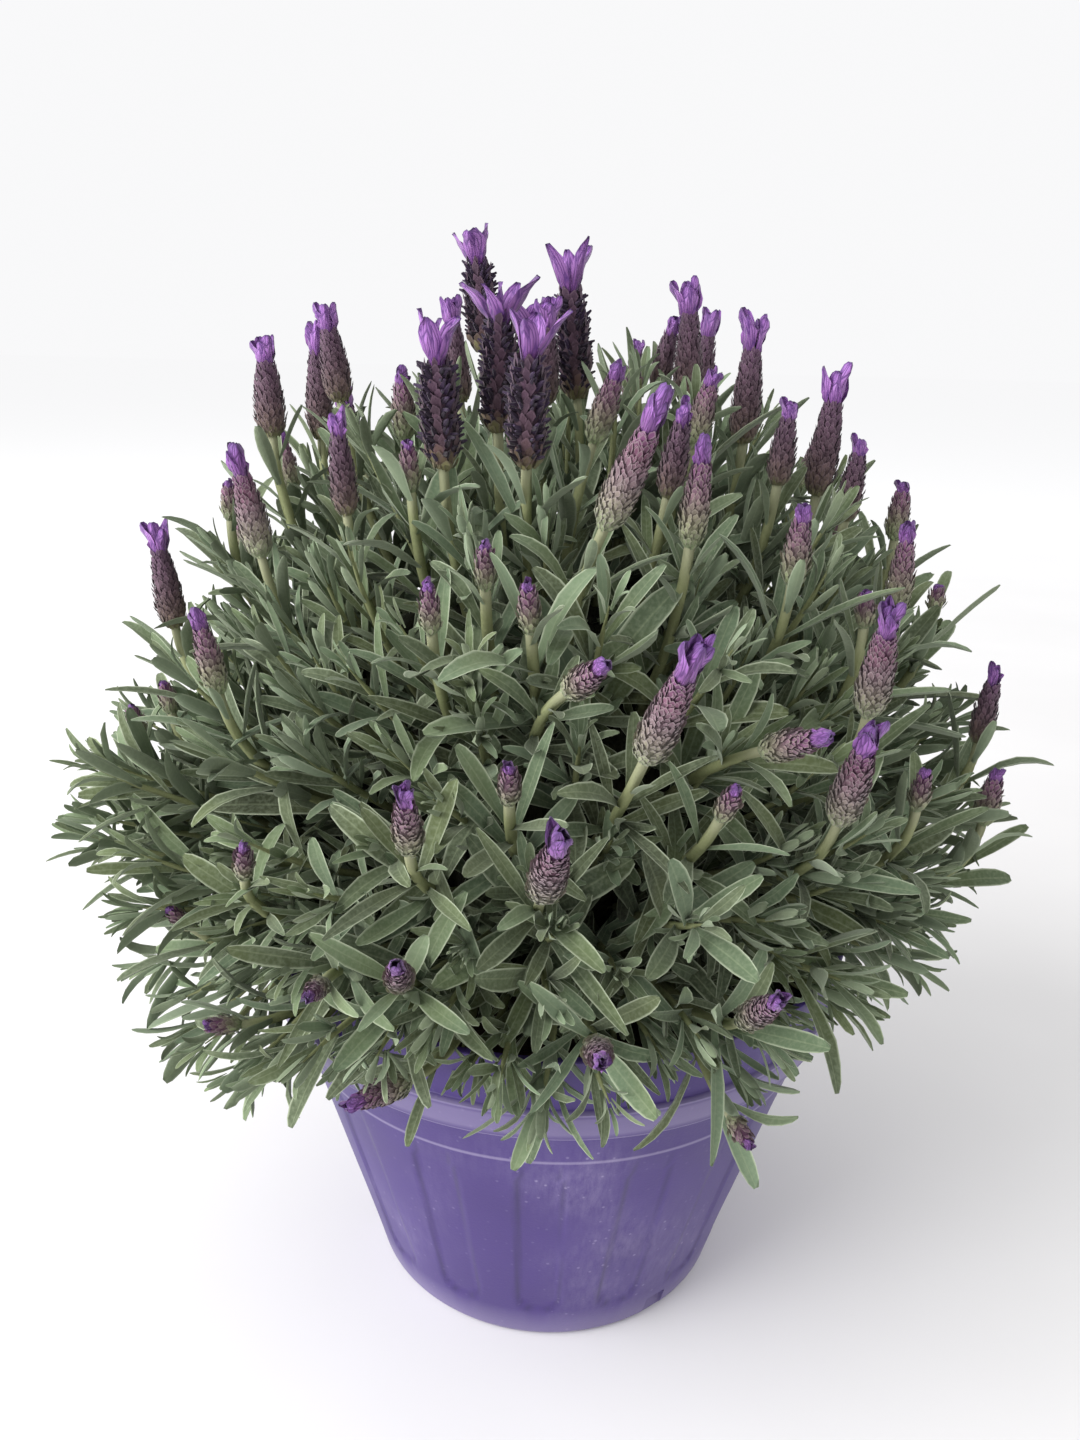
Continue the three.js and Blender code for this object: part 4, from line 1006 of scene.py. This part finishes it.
# %% Habits and room
HABITS = {
    "comb": {"gaps": [0, 2, 3, 4, 5, 6, 6, 7, 8, 8, 9], "sizes": [0.36, 0.52, 0.68, 0.82, 0.92, 1],
             "openings": [4, 9, 14, 19, 24, 28, 31, 34, 37, 40, 44], "vigour": (0.6, 0.95), "tufts": 0.1},
    "broad": {"gaps": [0, 2, 4, 6, 8, 10, 11, 12, 13], "sizes": [0.3, 0.42, 0.6, 0.8, 0.94, 1],
              "openings": [4, 11, 18, 26, 34, 40, 46, 50, 52], "vigour": (0.8, 1.15), "tufts": 0.3},
    "flowering": {"gaps": [0, 7, 8, 10, 11, 12, 13], "sizes": [0.66, 0.94, 1],
                  "openings": [24, 34, 42, 46, 50], "vigour": (0.85, 1.15), "tufts": 0.45},
}
CLEAR_OF_FLOWER = 5.5
POT_WALL = (99, 112.5)
POT_TOP, MIX_TOP = 152, 136

flower_points = [flower["foot"] + flower["axis"] * (flower["length"] * i / 8)
                 for flower in flowers for i in range(1, 9)]
flower_tree = kdtree.KDTree(len(flower_points))
for i, point in enumerate(flower_points):
    flower_tree.insert(point, i)
flower_tree.balance()


def is_free(point):
    """Whether a leaf may pass here: clear of the flowers, the pot's wall and the mix."""
    ring = point.xy.length
    in_wall = POT_WALL[0] < ring < POT_WALL[1] and point.z < POT_TOP
    in_mix = ring <= POT_WALL[0] and point.z < MIX_TOP
    return not in_wall and not in_mix and flower_tree.find(point)[2] > CLEAR_OF_FLOWER


print(len(flower_points), "points of flowers to keep clear of")

# %% Leaves on a shoot
TUFT = {"leaves": 3, "opening": (12, 34), "size": (0.7, 1.25), "age": 0.6}
LEAFY_LENGTH = 82
AGED_AT = 75
STEM = {"tip": 0.2, "green": 0.9, "bare_tip": 1.5, "bare": 1.6, "foot": 1.9}
LEAF_ROOT, TUFT_ROOT = 1.1, 1.5


def grow_leaf(target, kinds, root, way, out, opening, size, age):
    """One leaf from its root: the stem runs along way, and the leaf opens towards out."""
    opening = math.radians(opening)
    axis = way * math.cos(opening) + out * math.sin(opening)
    face = way * math.sin(opening) - out * math.cos(opening)
    source = chance.choice(kinds)
    length = LENGTHS[source.name.split("_")[0]] * size
    if not (is_free(root + axis * length) and is_free(root + axis * length * 0.55)):
        return
    place = Matrix((axis.cross(face), axis, face)).transposed().to_4x4()
    place.translation = root
    stamp(target, source, place @ Matrix.Scale(size, 4), age=age, tint=chance.random())


def grow_tuft(target, root, way, out, age):
    """A few short leaves in the armpit of a leaf."""
    axis = (way * 0.8 + out * 0.6).normalized()
    first = chance.uniform(0, 2 * math.pi)
    for i in range(TUFT["leaves"]):
        around = Matrix.Rotation(first + 2 * math.pi * i / TUFT["leaves"], 3, axis)
        side = around @ axis.orthogonal().normalized()
        grow_leaf(target, SMALL_LEAVES, root, axis, side, chance.uniform(*TUFT["opening"]),
                  chance.uniform(*TUFT["size"]), age)


def grow_shoot(target, shoot):
    habit = HABITS[shoot["habit"]]
    kinds = NARROW_LEAVES if shoot["habit"] == "comb" else LEAVES
    points = shoot_spine(shoot["tip"], shoot["axis"])
    whole = STEP * (len(points) - 1)
    if shoot["bare"]:
        young_end, radius = shoot["bare"] + 6, STEM["bare"]
        bend_stem(target, points, 0, young_end, STEM["bare_tip"], radius, 0.0, 0.3)
    else:
        young_end, radius = 12, STEM["green"]
        bend_stem(target, points, 0.5, young_end, STEM["tip"], radius, 0.3, 0.4)
    bend_stem(target, points, young_end, whole, radius, STEM["foot"], 0.4, 1.0)
    vigour = chance.uniform(*habit["vigour"])
    quarter = chance.uniform(0, math.pi)
    distance = shoot["bare"]
    for pair, gap in enumerate(habit["gaps"]):
        distance += gap
        if distance > min(whole, LEAFY_LENGTH):
            break
        root, way = on_spine(points, distance)
        quarter += math.pi / 2 + chance.uniform(-0.2, 0.2)
        size = vigour * habit["sizes"][min(pair, len(habit["sizes"]) - 1)]
        opening = habit["openings"][min(pair, len(habit["openings"]) - 1)]
        # The age of a pair also sets how much painted shade its leaves get, deeper in the bush.
        age = min(distance / AGED_AT, 1)
        for side in (0, math.pi):
            out = Matrix.Rotation(quarter + side, 3, way) @ way.orthogonal().normalized()
            grow_leaf(target, kinds, root + out * LEAF_ROOT, way, out, opening + chance.uniform(-7, 7),
                      size * chance.uniform(0.86, 1.1), age)
            if pair > 1 and chance.random() < habit["tufts"]:
                grow_tuft(target, root + out * TUFT_ROOT, way, out, age * TUFT["age"])


print(sum(len(habit["gaps"]) for habit in HABITS.values()), "pairs in the three habits")

# %% [markdown]
# ## The bush, branch by branch
# The model has the bush as eight sectors and a crown, and the scene keeps them. A shoot belongs to the
# crown when it ends above the cut, and to the sector of its bearing otherwise. Deep inside, each piece
# holds a rough core that is painted shade: a near-black surface for the deep shadow among the inner
# twigs, which the leafy shoots stand out of and hide.

# %% Bush
CORE_SHARE = 0.7
CORE_ROUGHNESS = 0.1
CORE_LUMPS = 7
CUT_OVERLAP = 14
SECTOR = 360 / BRANCHES


def branch_of(point):
    """The number of the branch that a shoot's tip belongs to, where the last is the crown."""
    if point.z > TOP_CUT + CUT_OVERLAP and point.xy.length < HEART["across"]:
        return BRANCHES
    bearing = math.degrees(math.atan2(point.x, -point.y)) % 360
    return int(bearing // SECTOR) % BRANCHES


def core_share(branch):
    """One branch's share of the core: a rough ellipsoid, cut by the planes between the branches."""
    bm = bmesh.new()
    bmesh.ops.create_icosphere(bm, subdivisions=4, radius=1)
    for vert in bm.verts:
        way = vert.co.normalized()
        rough = CORE_SHARE * (1 + CORE_ROUGHNESS * noise.noise(way * CORE_LUMPS))
        height = HEART["above"] if way.z > 0 else HEART["below"] * 0.8
        vert.co = Vector((way.x * HEART["across"], way.y * HEART["across"], way.z * height)) * rough
        vert.co.z += MIDDLE
    upper_cut = Vector((0, 0, TOP_CUT - CUT_OVERLAP))
    planes = [(upper_cut, Vector((0, 0, -1 if branch == BRANCHES else 1)))]
    if branch < BRANCHES:
        for edge_bearing, turn in ((branch * SECTOR, -90), ((branch + 1) * SECTOR, 90)):
            planes.append((Vector((0, 0, MIDDLE)), leaning(90, edge_bearing + turn)))
    for point, outward in planes:
        cut = bmesh.ops.bisect_plane(bm, geom=bm.verts[:] + bm.edges[:] + bm.faces[:], plane_co=point,
                                     plane_no=outward, clear_outer=True)
        rim = [item for item in cut["geom_cut"] if isinstance(item, bmesh.types.BMEdge)]
        bmesh.ops.edgeloop_fill(bm, edges=rim)
    for face in bm.faces:
        face.smooth = True
        # The core takes the near-black inner material, painted shade of the bush's inside.
        face.material_index = 2
    return bm


for branch in range(BRANCHES + 1):
    bush = core_share(branch)
    for shoot in shoots:
        if branch_of(shoot["tip"]) == branch:
            grow_shoot(bush, shoot)
    own = "crown" if branch == BRANCHES else f"branch_{branch + 1}"
    finish_piece(f"foliage_{own}", bush, [leaf_felt, green_stem, twigs_and_painted_shade], [f"leafy_{own}"])

# %% [markdown]
# ## The parts of a spike
# A scale of the spike and the large violet bracts of its tuft, called ears, are blades as the leaves
# are, only of other proportions. A floret is a small dark tube that narrows outwards, so it is a cone
# of five sides along +Y. It is so small and repeated so often that it has no open mouth. The core that
# they all stand on is a short outline turned round the axis.

# %% Spike templates
EAR_GRID = {"rows": 7, "columns": 4, "thick": 0.4}
TUFT_GRID = {"rows": 6, "columns": 4, "thick": 0.4}
FLORET = {"foot": 0.95, "tip": 0.3, "length": 3.4}
SCALES = [
    blade("scale_broad", 3.8, 2.6, 2, blunt=0.6, widest=0.5, arch=0.3, fold=-0.3),
    blade("scale_narrow", 4.2, 2.2, 2, blunt=0.3, widest=0.45, arch=0.1, fold=-0.35),
]
EARS = [
    blade("ear_spread", 17, 7.2, **EAR_GRID, blunt=0.4, widest=0.56, arch=0.5, fold=0.3, crumple=0.5),
    blade("ear_curled", 18, 6.4, **EAR_GRID, blunt=0.25, widest=0.52, arch=0.55, fold=0.45, twist=0.6,
          crumple=0.6),
    blade("ear_upright", 17, 7.6, **EAR_GRID, blunt=0.5, widest=0.6, arch=0.1, fold=0.35, twist=-0.4,
          crumple=0.5),
    blade("ear_folded", 16, 6.8, **EAR_GRID, blunt=0.35, widest=0.52, arch=0.3, fold=0.8, twist=0.3,
          crumple=0.4),
    blade("ear_notched", 15, 7.6, **EAR_GRID, blunt=0.8, widest=0.66, arch=0.35, fold=0.4, twist=0.1,
          crumple=0.8),
]
TUFT_EARS = [
    blade("tuft_ear_folded", 14, 5.8, **TUFT_GRID, blunt=0.7, widest=0.62, arch=-0.15, fold=0.5,
          crumple=0.5),
    blade("tuft_ear_bent", 14, 5.2, **TUFT_GRID, blunt=0.5, widest=0.6, arch=0.15, fold=0.5, twist=0.4,
          crumple=0.6),
    blade("tuft_ear_clasping", 13, 6.0, **TUFT_GRID, blunt=0.8, widest=0.6, arch=-0.4, fold=0.6,
          twist=-0.3, crumple=0.4),
]


def floret_template():
    bm = bmesh.new()
    lying = Matrix.Rotation(-math.pi / 2, 4, "X") @ Matrix.Translation((0, 0, FLORET["length"] / 2))
    bmesh.ops.create_cone(bm, cap_ends=True, segments=5, radius1=FLORET["foot"], radius2=FLORET["tip"],
                          depth=FLORET["length"], matrix=lying)
    return template("floret", bm)


floret = floret_template()
for ear in EARS + TUFT_EARS:
    ear["reach"] = max(vert.co.y for vert in ear.vertices)
print(len(SCALES[0].polygons), "faces on a scale,", len(floret.polygons), "on a floret")

# %% [markdown]
# ## Stages of a flower
# Each stage has its own proportions: how thick the spike is and how its width swells and tapers, the
# share of the head that it takes up, how its rows are spaced, and how many ears stand around its top
# and within it. Closed heads near the top or on the sides of the bush have a darker finish, which is
# painted shade, and their tuft flares.

# %% Stages
STAGES = {
    "open": {"radius": 5.0, "spike": 0.65, "row": 1.7, "around": 15, "scale": 0.95, "ears": (4, 1),
             "spread": 21, "swell": [(0, 0.62), (0.08, 0.88), (0.3, 1), (0.7, 0.94), (0.92, 0.74), (1, 0.5)]},
    "full": {"radius": 5.1, "spike": 0.68, "row": 1.15, "around": 16, "scale": 0.66, "ears": (5, 3),
             "spread": 5, "swell": [(0, 0.56), (0.07, 0.86), (0.2, 1), (0.45, 0.96), (0.8, 0.72), (1, 0.5)]},
    "young": {"radius": 4.1, "spike": 0.72, "row": 1.25, "around": 13, "scale": 0.66, "ears": (4, 2),
              "spread": 3, "swell": [(0, 0.56), (0.08, 0.86), (0.25, 1), (0.5, 0.94), (0.8, 0.7), (1, 0.48)]},
    "bud": {"radius": 3.0, "spike": 0.76, "row": 1.4, "around": 9, "scale": 0.66, "ears": (3, 1),
            "spread": 2, "swell": [(0, 0.55), (0.1, 0.86), (0.3, 1), (0.6, 0.9), (0.85, 0.66), (1, 0.45)]},
}
SHADED_AND_FLARED = {"above": 42.5, "beyond": 60, "flare": 2.6}
CORE = {"radius": 0.84, "rings": 12, "steps": 10, "tint": 0.05}


# These heads are painted darker as shade, and their tuft flares.
def is_shaded_and_flared(flower):
    """Whether a closed head stands near the top or on the sides of the bush."""
    off_front = abs((flower["bearing"] + 180) % 360 - 180)
    at_top_or_side = off_front > SHADED_AND_FLARED["beyond"] or flower["from_top"] < SHADED_AND_FLARED["above"]
    return flower["stage"] != "open" and at_top_or_side


def swell_at(swell, share):
    """How wide the spike is at a share of its length, as a share of its radius."""
    for (low, first), (high, second) in zip(swell, swell[1:]):
        if share <= high:
            return first + (second - first) * (share - low) / (high - low)
    return swell[-1][1]


def spike_core(shape, length):
    shares = [i / CORE["rings"] for i in range(CORE["rings"] + 1)]
    radius = shape["radius"] * CORE["radius"]
    side = [(radius * swell_at(shape["swell"], share), length * share) for share in shares]
    bm = turned([(0, 0), *side, (0, length)], CORE["steps"])
    bmesh.ops.recalc_face_normals(bm, faces=bm.faces)
    return template("core", bm)


for flower in flowers:
    flower["ripening"] = is_shaded_and_flared(flower)
print(sum(flower["ripening"] for flower in flowers), "heads are ripening")

# %% [markdown]
# ## Building a head
# A head is built upright, foot at the origin, and then leaned into place. Rows of small scales run up
# the core in ranks that wave a little from side to side. In an open head every third rank has broad
# scales and the two between hold dark violet florets that stick out, and a few ears stand up from the
# top. In a closed head the ears clasp each other in a crumpled tuft, with shorter ones inside.

# %% Scales, florets and ears
EAR_MATERIAL, FLORET_MATERIAL = 1, 2
ROW = {"ring": 0.82, "waver": 0.2, "tilt": 22, "broad_ring": 1.04, "broad_size": 1.15}
FLORET_STANDS = {"ring": 0.9, "tilt": (40, 76), "size": (0.7, 1.15), "edge": (0.3, 0.9)}
EAR_STANDS = {"foot": 0.92, "ring": 0.32, "inner_ring": 0.1, "inner_reach": 0.84, "inner_tilt": -3}
EAR_WIDTH_AT = 5.8


def outward_place(angle, ring, height, tilt, size):
    """A place on the spike for a blade that rises and leans out by a tilt from upright."""
    out = Vector((math.sin(angle), -math.cos(angle), 0))
    axis = Vector((0, 0, math.cos(tilt))) + out * math.sin(tilt)
    face = Vector((0, 0, math.sin(tilt))) - out * math.cos(tilt)
    place = Matrix((axis.cross(face), axis, face)).transposed().to_4x4()
    place.translation = out * ring + Vector((0, 0, height))
    return place @ Matrix.Scale(size, 4)


def clothe_spike(target, stand, shape, is_open, spike):
    """Covers the core with rows of scales, and in an open head with florets between them."""
    rows = round(spike / shape["row"])
    for row in range(rows):
        share = row / rows
        ring = shape["radius"] * swell_at(shape["swell"], share) * ROW["ring"]
        waver = ROW["waver"] * (-1) ** row + dice.uniform(-0.1, 0.1)
        for column in range(shape["around"]):
            angle = 2 * math.pi * (column + waver + dice.uniform(-0.2, 0.2)) / shape["around"]
            height = spike * share + dice.uniform(-0.4, 0.4) * shape["row"]
            broad = is_open and (row < 2 or column % 3 == 0)
            if is_open and not broad:
                tilt = math.radians(dice.uniform(*FLORET_STANDS["tilt"]))
                place = outward_place(angle, ring * FLORET_STANDS["ring"], height, tilt,
                                      dice.uniform(*FLORET_STANDS["size"]))
                stamp(target, floret, stand @ place, material=FLORET_MATERIAL, along=share,
                      tint=dice.random(), edge=dice.uniform(*FLORET_STANDS["edge"]))
                continue
            tilt = math.radians(dice.uniform(0, ROW["tilt"]) * (1.3 - share))
            size = shape["scale"] * dice.uniform(0.8, 1.2) * (ROW["broad_size"] if broad else 1)
            place = outward_place(angle, ring * (ROW["broad_ring"] if broad else 1), height, tilt, size)
            place = place @ Matrix.Rotation(dice.uniform(-0.35, 0.35), 4, "Z")
            stamp(target, dice.choice(SCALES), stand @ place, along=share, tint=dice.random())


def add_ears(target, stand, shape, flower, foot):
    """Stands the ears around the top of the spike, and a few upright ones within."""
    ears = EARS if flower["stage"] == "open" else TUFT_EARS
    outer, inner = shape["ears"]
    spread = shape["spread"] * (SHADED_AND_FLARED["flare"] if flower["ripening"] else 1)
    first = dice.uniform(0, 2 * math.pi)
    for i in range(outer + inner):
        inside = i >= outer
        around = (i - outer + 0.5) / inner if inside else i / outer
        angle = first + 2 * math.pi * around + dice.uniform(-0.3, 0.3)
        tilt = math.radians(EAR_STANDS["inner_tilt"] if inside else spread * dice.uniform(0.4, 1.5))
        source = dice.choice(ears)
        reach = (flower["length"] - foot) * dice.uniform(0.74, 1.04)
        reach *= EAR_STANDS["inner_reach"] if inside else 1
        width = shape["radius"] / EAR_WIDTH_AT * dice.uniform(0.85, 1.15)
        ring = shape["radius"] * EAR_STANDS["inner_ring" if inside else "ring"]
        place = outward_place(angle, ring, foot, tilt, 1)
        place = place @ Matrix.Diagonal((width, reach / source["reach"], width, 1))
        marks = [vert.co.y / source["reach"] for vert in source.vertices]
        stamp(target, source, stand @ place, material=EAR_MATERIAL, along=marks, tint=dice.random())


def build_head(target, flower):
    shape = STAGES[flower["stage"]]
    spike = flower["length"] * shape["spike"]
    upright_turn = Vector((0, 0, 1)).rotation_difference(flower["axis"]).to_matrix().to_4x4()
    stand = Matrix.Translation(flower["foot"]) @ upright_turn
    core = spike_core(shape, spike)
    stamp(target, core, stand, tint=CORE["tint"], along=[vert.co.z / spike for vert in core.vertices])
    bpy.data.meshes.remove(core)
    clothe_spike(target, stand, shape, flower["stage"] == "open", spike)
    add_ears(target, stand, shape, flower, spike * EAR_STANDS["foot"])


dice = random.Random(3)
print("dice thrown from seed 3")

# %% [markdown]
# ## All the heads
# The larger heads are pieces of their own, each in place of its solid. The small ones, which the
# model has in its branches, are one piece together.

# %% Heads
small_heads = bmesh.new()
for flower in flowers:
    if "node" not in flower:
        build_head(small_heads, flower)
        continue
    head = bmesh.new()
    build_head(head, flower)
    # Heads near the top and on the sides take the darker finish, which is painted shade.
    scales = SPIKE_FINISHES["ripening" if flower["ripening"] else flower["stage"]]
    ears = ear_violet if flower["ripening"] or flower["stage"] == "open" else tuft_violet
    finish_piece(flower["node"].replace("flower_head", "spike"), head, [scales, ears, floret_violet],
                 [flower["node"]])
finish_piece("small_spikes", small_heads, [SPIKE_FINISHES["young"], tuft_violet, floret_violet])

# %% [markdown]
# ## Floor, backdrop and light
# The pot stands on a pale floor in soft daylight. The floor's paint is greyer around the pot and
# brighter far away, so that the floor and the near-white world melt into one behind the plant. A
# large soft lamp stands high on the left as the window, a weaker one low beside it stands for the light
# that the floor throws back, and the world fills the shadows.

# %% Floor and light
NEAR_PAINT = ("#e4e3e3", "#e9e8e8")
FAR_PAINT = "#fefefe"
BRIGHTENS = (300, 3000)
FLOOR_CLOUDS = 220
FLOOR_REACH = 60000


def pale_paint():
    material, tree = new_material("matte_white_paint")
    place = add(tree, "ShaderNodeTexCoord", out="Object")
    clouds = add(tree, "ShaderNodeTexNoise", {"Scale": per_mm(FLOOR_CLOUDS), "Detail": 3, "Vector": place})
    near = add(tree, "ShaderNodeValToRGB", {0: clouds}, [(0.3, NEAR_PAINT[0]), (0.7, NEAR_PAINT[1])])
    off_pot = add(tree, "ShaderNodeVectorMath", {0: place}, out="Value", operation="LENGTH")
    far = add(tree, "ShaderNodeMapRange",
              {"Value": off_pot, "From Min": BRIGHTENS[0] * MM, "From Max": BRIGHTENS[1] * MM},
              interpolation_type="SMOOTHSTEP")
    paint = add(tree, "ShaderNodeMix", {0: far, 6: near, 7: FAR_PAINT}, out=2, data_type="RGBA")
    finish_material(tree, paint, clouds, 0.1, {"Roughness": 0.9, "Specular IOR Level": 0.0})
    return material


floor_bm = bmesh.new()
bmesh.ops.create_grid(floor_bm, x_segments=1, y_segments=1, size=FLOOR_REACH)
floor_mesh = bpy.data.meshes.new("floor")
floor_bm.to_mesh(floor_mesh)
floor_bm.free()
floor_mesh.transform(Matrix.Scale(MM, 4))
floor_mesh.materials.append(pale_paint())
floor = bpy.data.objects.new("floor", floor_mesh)
bpy.context.scene.collection.objects.link(floor)
print("floor of", 2 * FLOOR_REACH * MM, "m")

# %% Lamps and world
LAMPS = {
    "window": {"place": (-1.8, -1.1, 1.7), "size": 2.0, "power": 60},
    "floor_glow": {"place": (-1.5, -1.1, 0.45), "size": 1.2, "power": 16},
}
LAMPS_FACE = Vector((0, 0, 0.2))
DAYLIGHT = {"colour": "#fcfcfd", "strength": 0.97}


def soft_lamp(name, place, size, power):
    data = bpy.data.lights.new(name, "AREA")
    data.shape = "DISK"
    data.size = size
    data.energy = power
    lamp = bpy.data.objects.new(name, data)
    lamp.location = place
    lamp.rotation_euler = (LAMPS_FACE - Vector(place)).to_track_quat("-Z", "Y").to_euler()
    bpy.context.scene.collection.objects.link(lamp)


for name, lamp in LAMPS.items():
    soft_lamp(name, **lamp)
world = bpy.data.worlds.new("daylight")
world.use_nodes = True
sky = world.node_tree.nodes["Background"]
sky.inputs["Color"].default_value = colour(DAYLIGHT["colour"])
sky.inputs["Strength"].default_value = DAYLIGHT["strength"]
bpy.context.scene.world = world
bpy.context.scene.view_settings.view_transform = "Standard"
print(len(LAMPS), "lamps, and daylight of strength", DAYLIGHT["strength"])
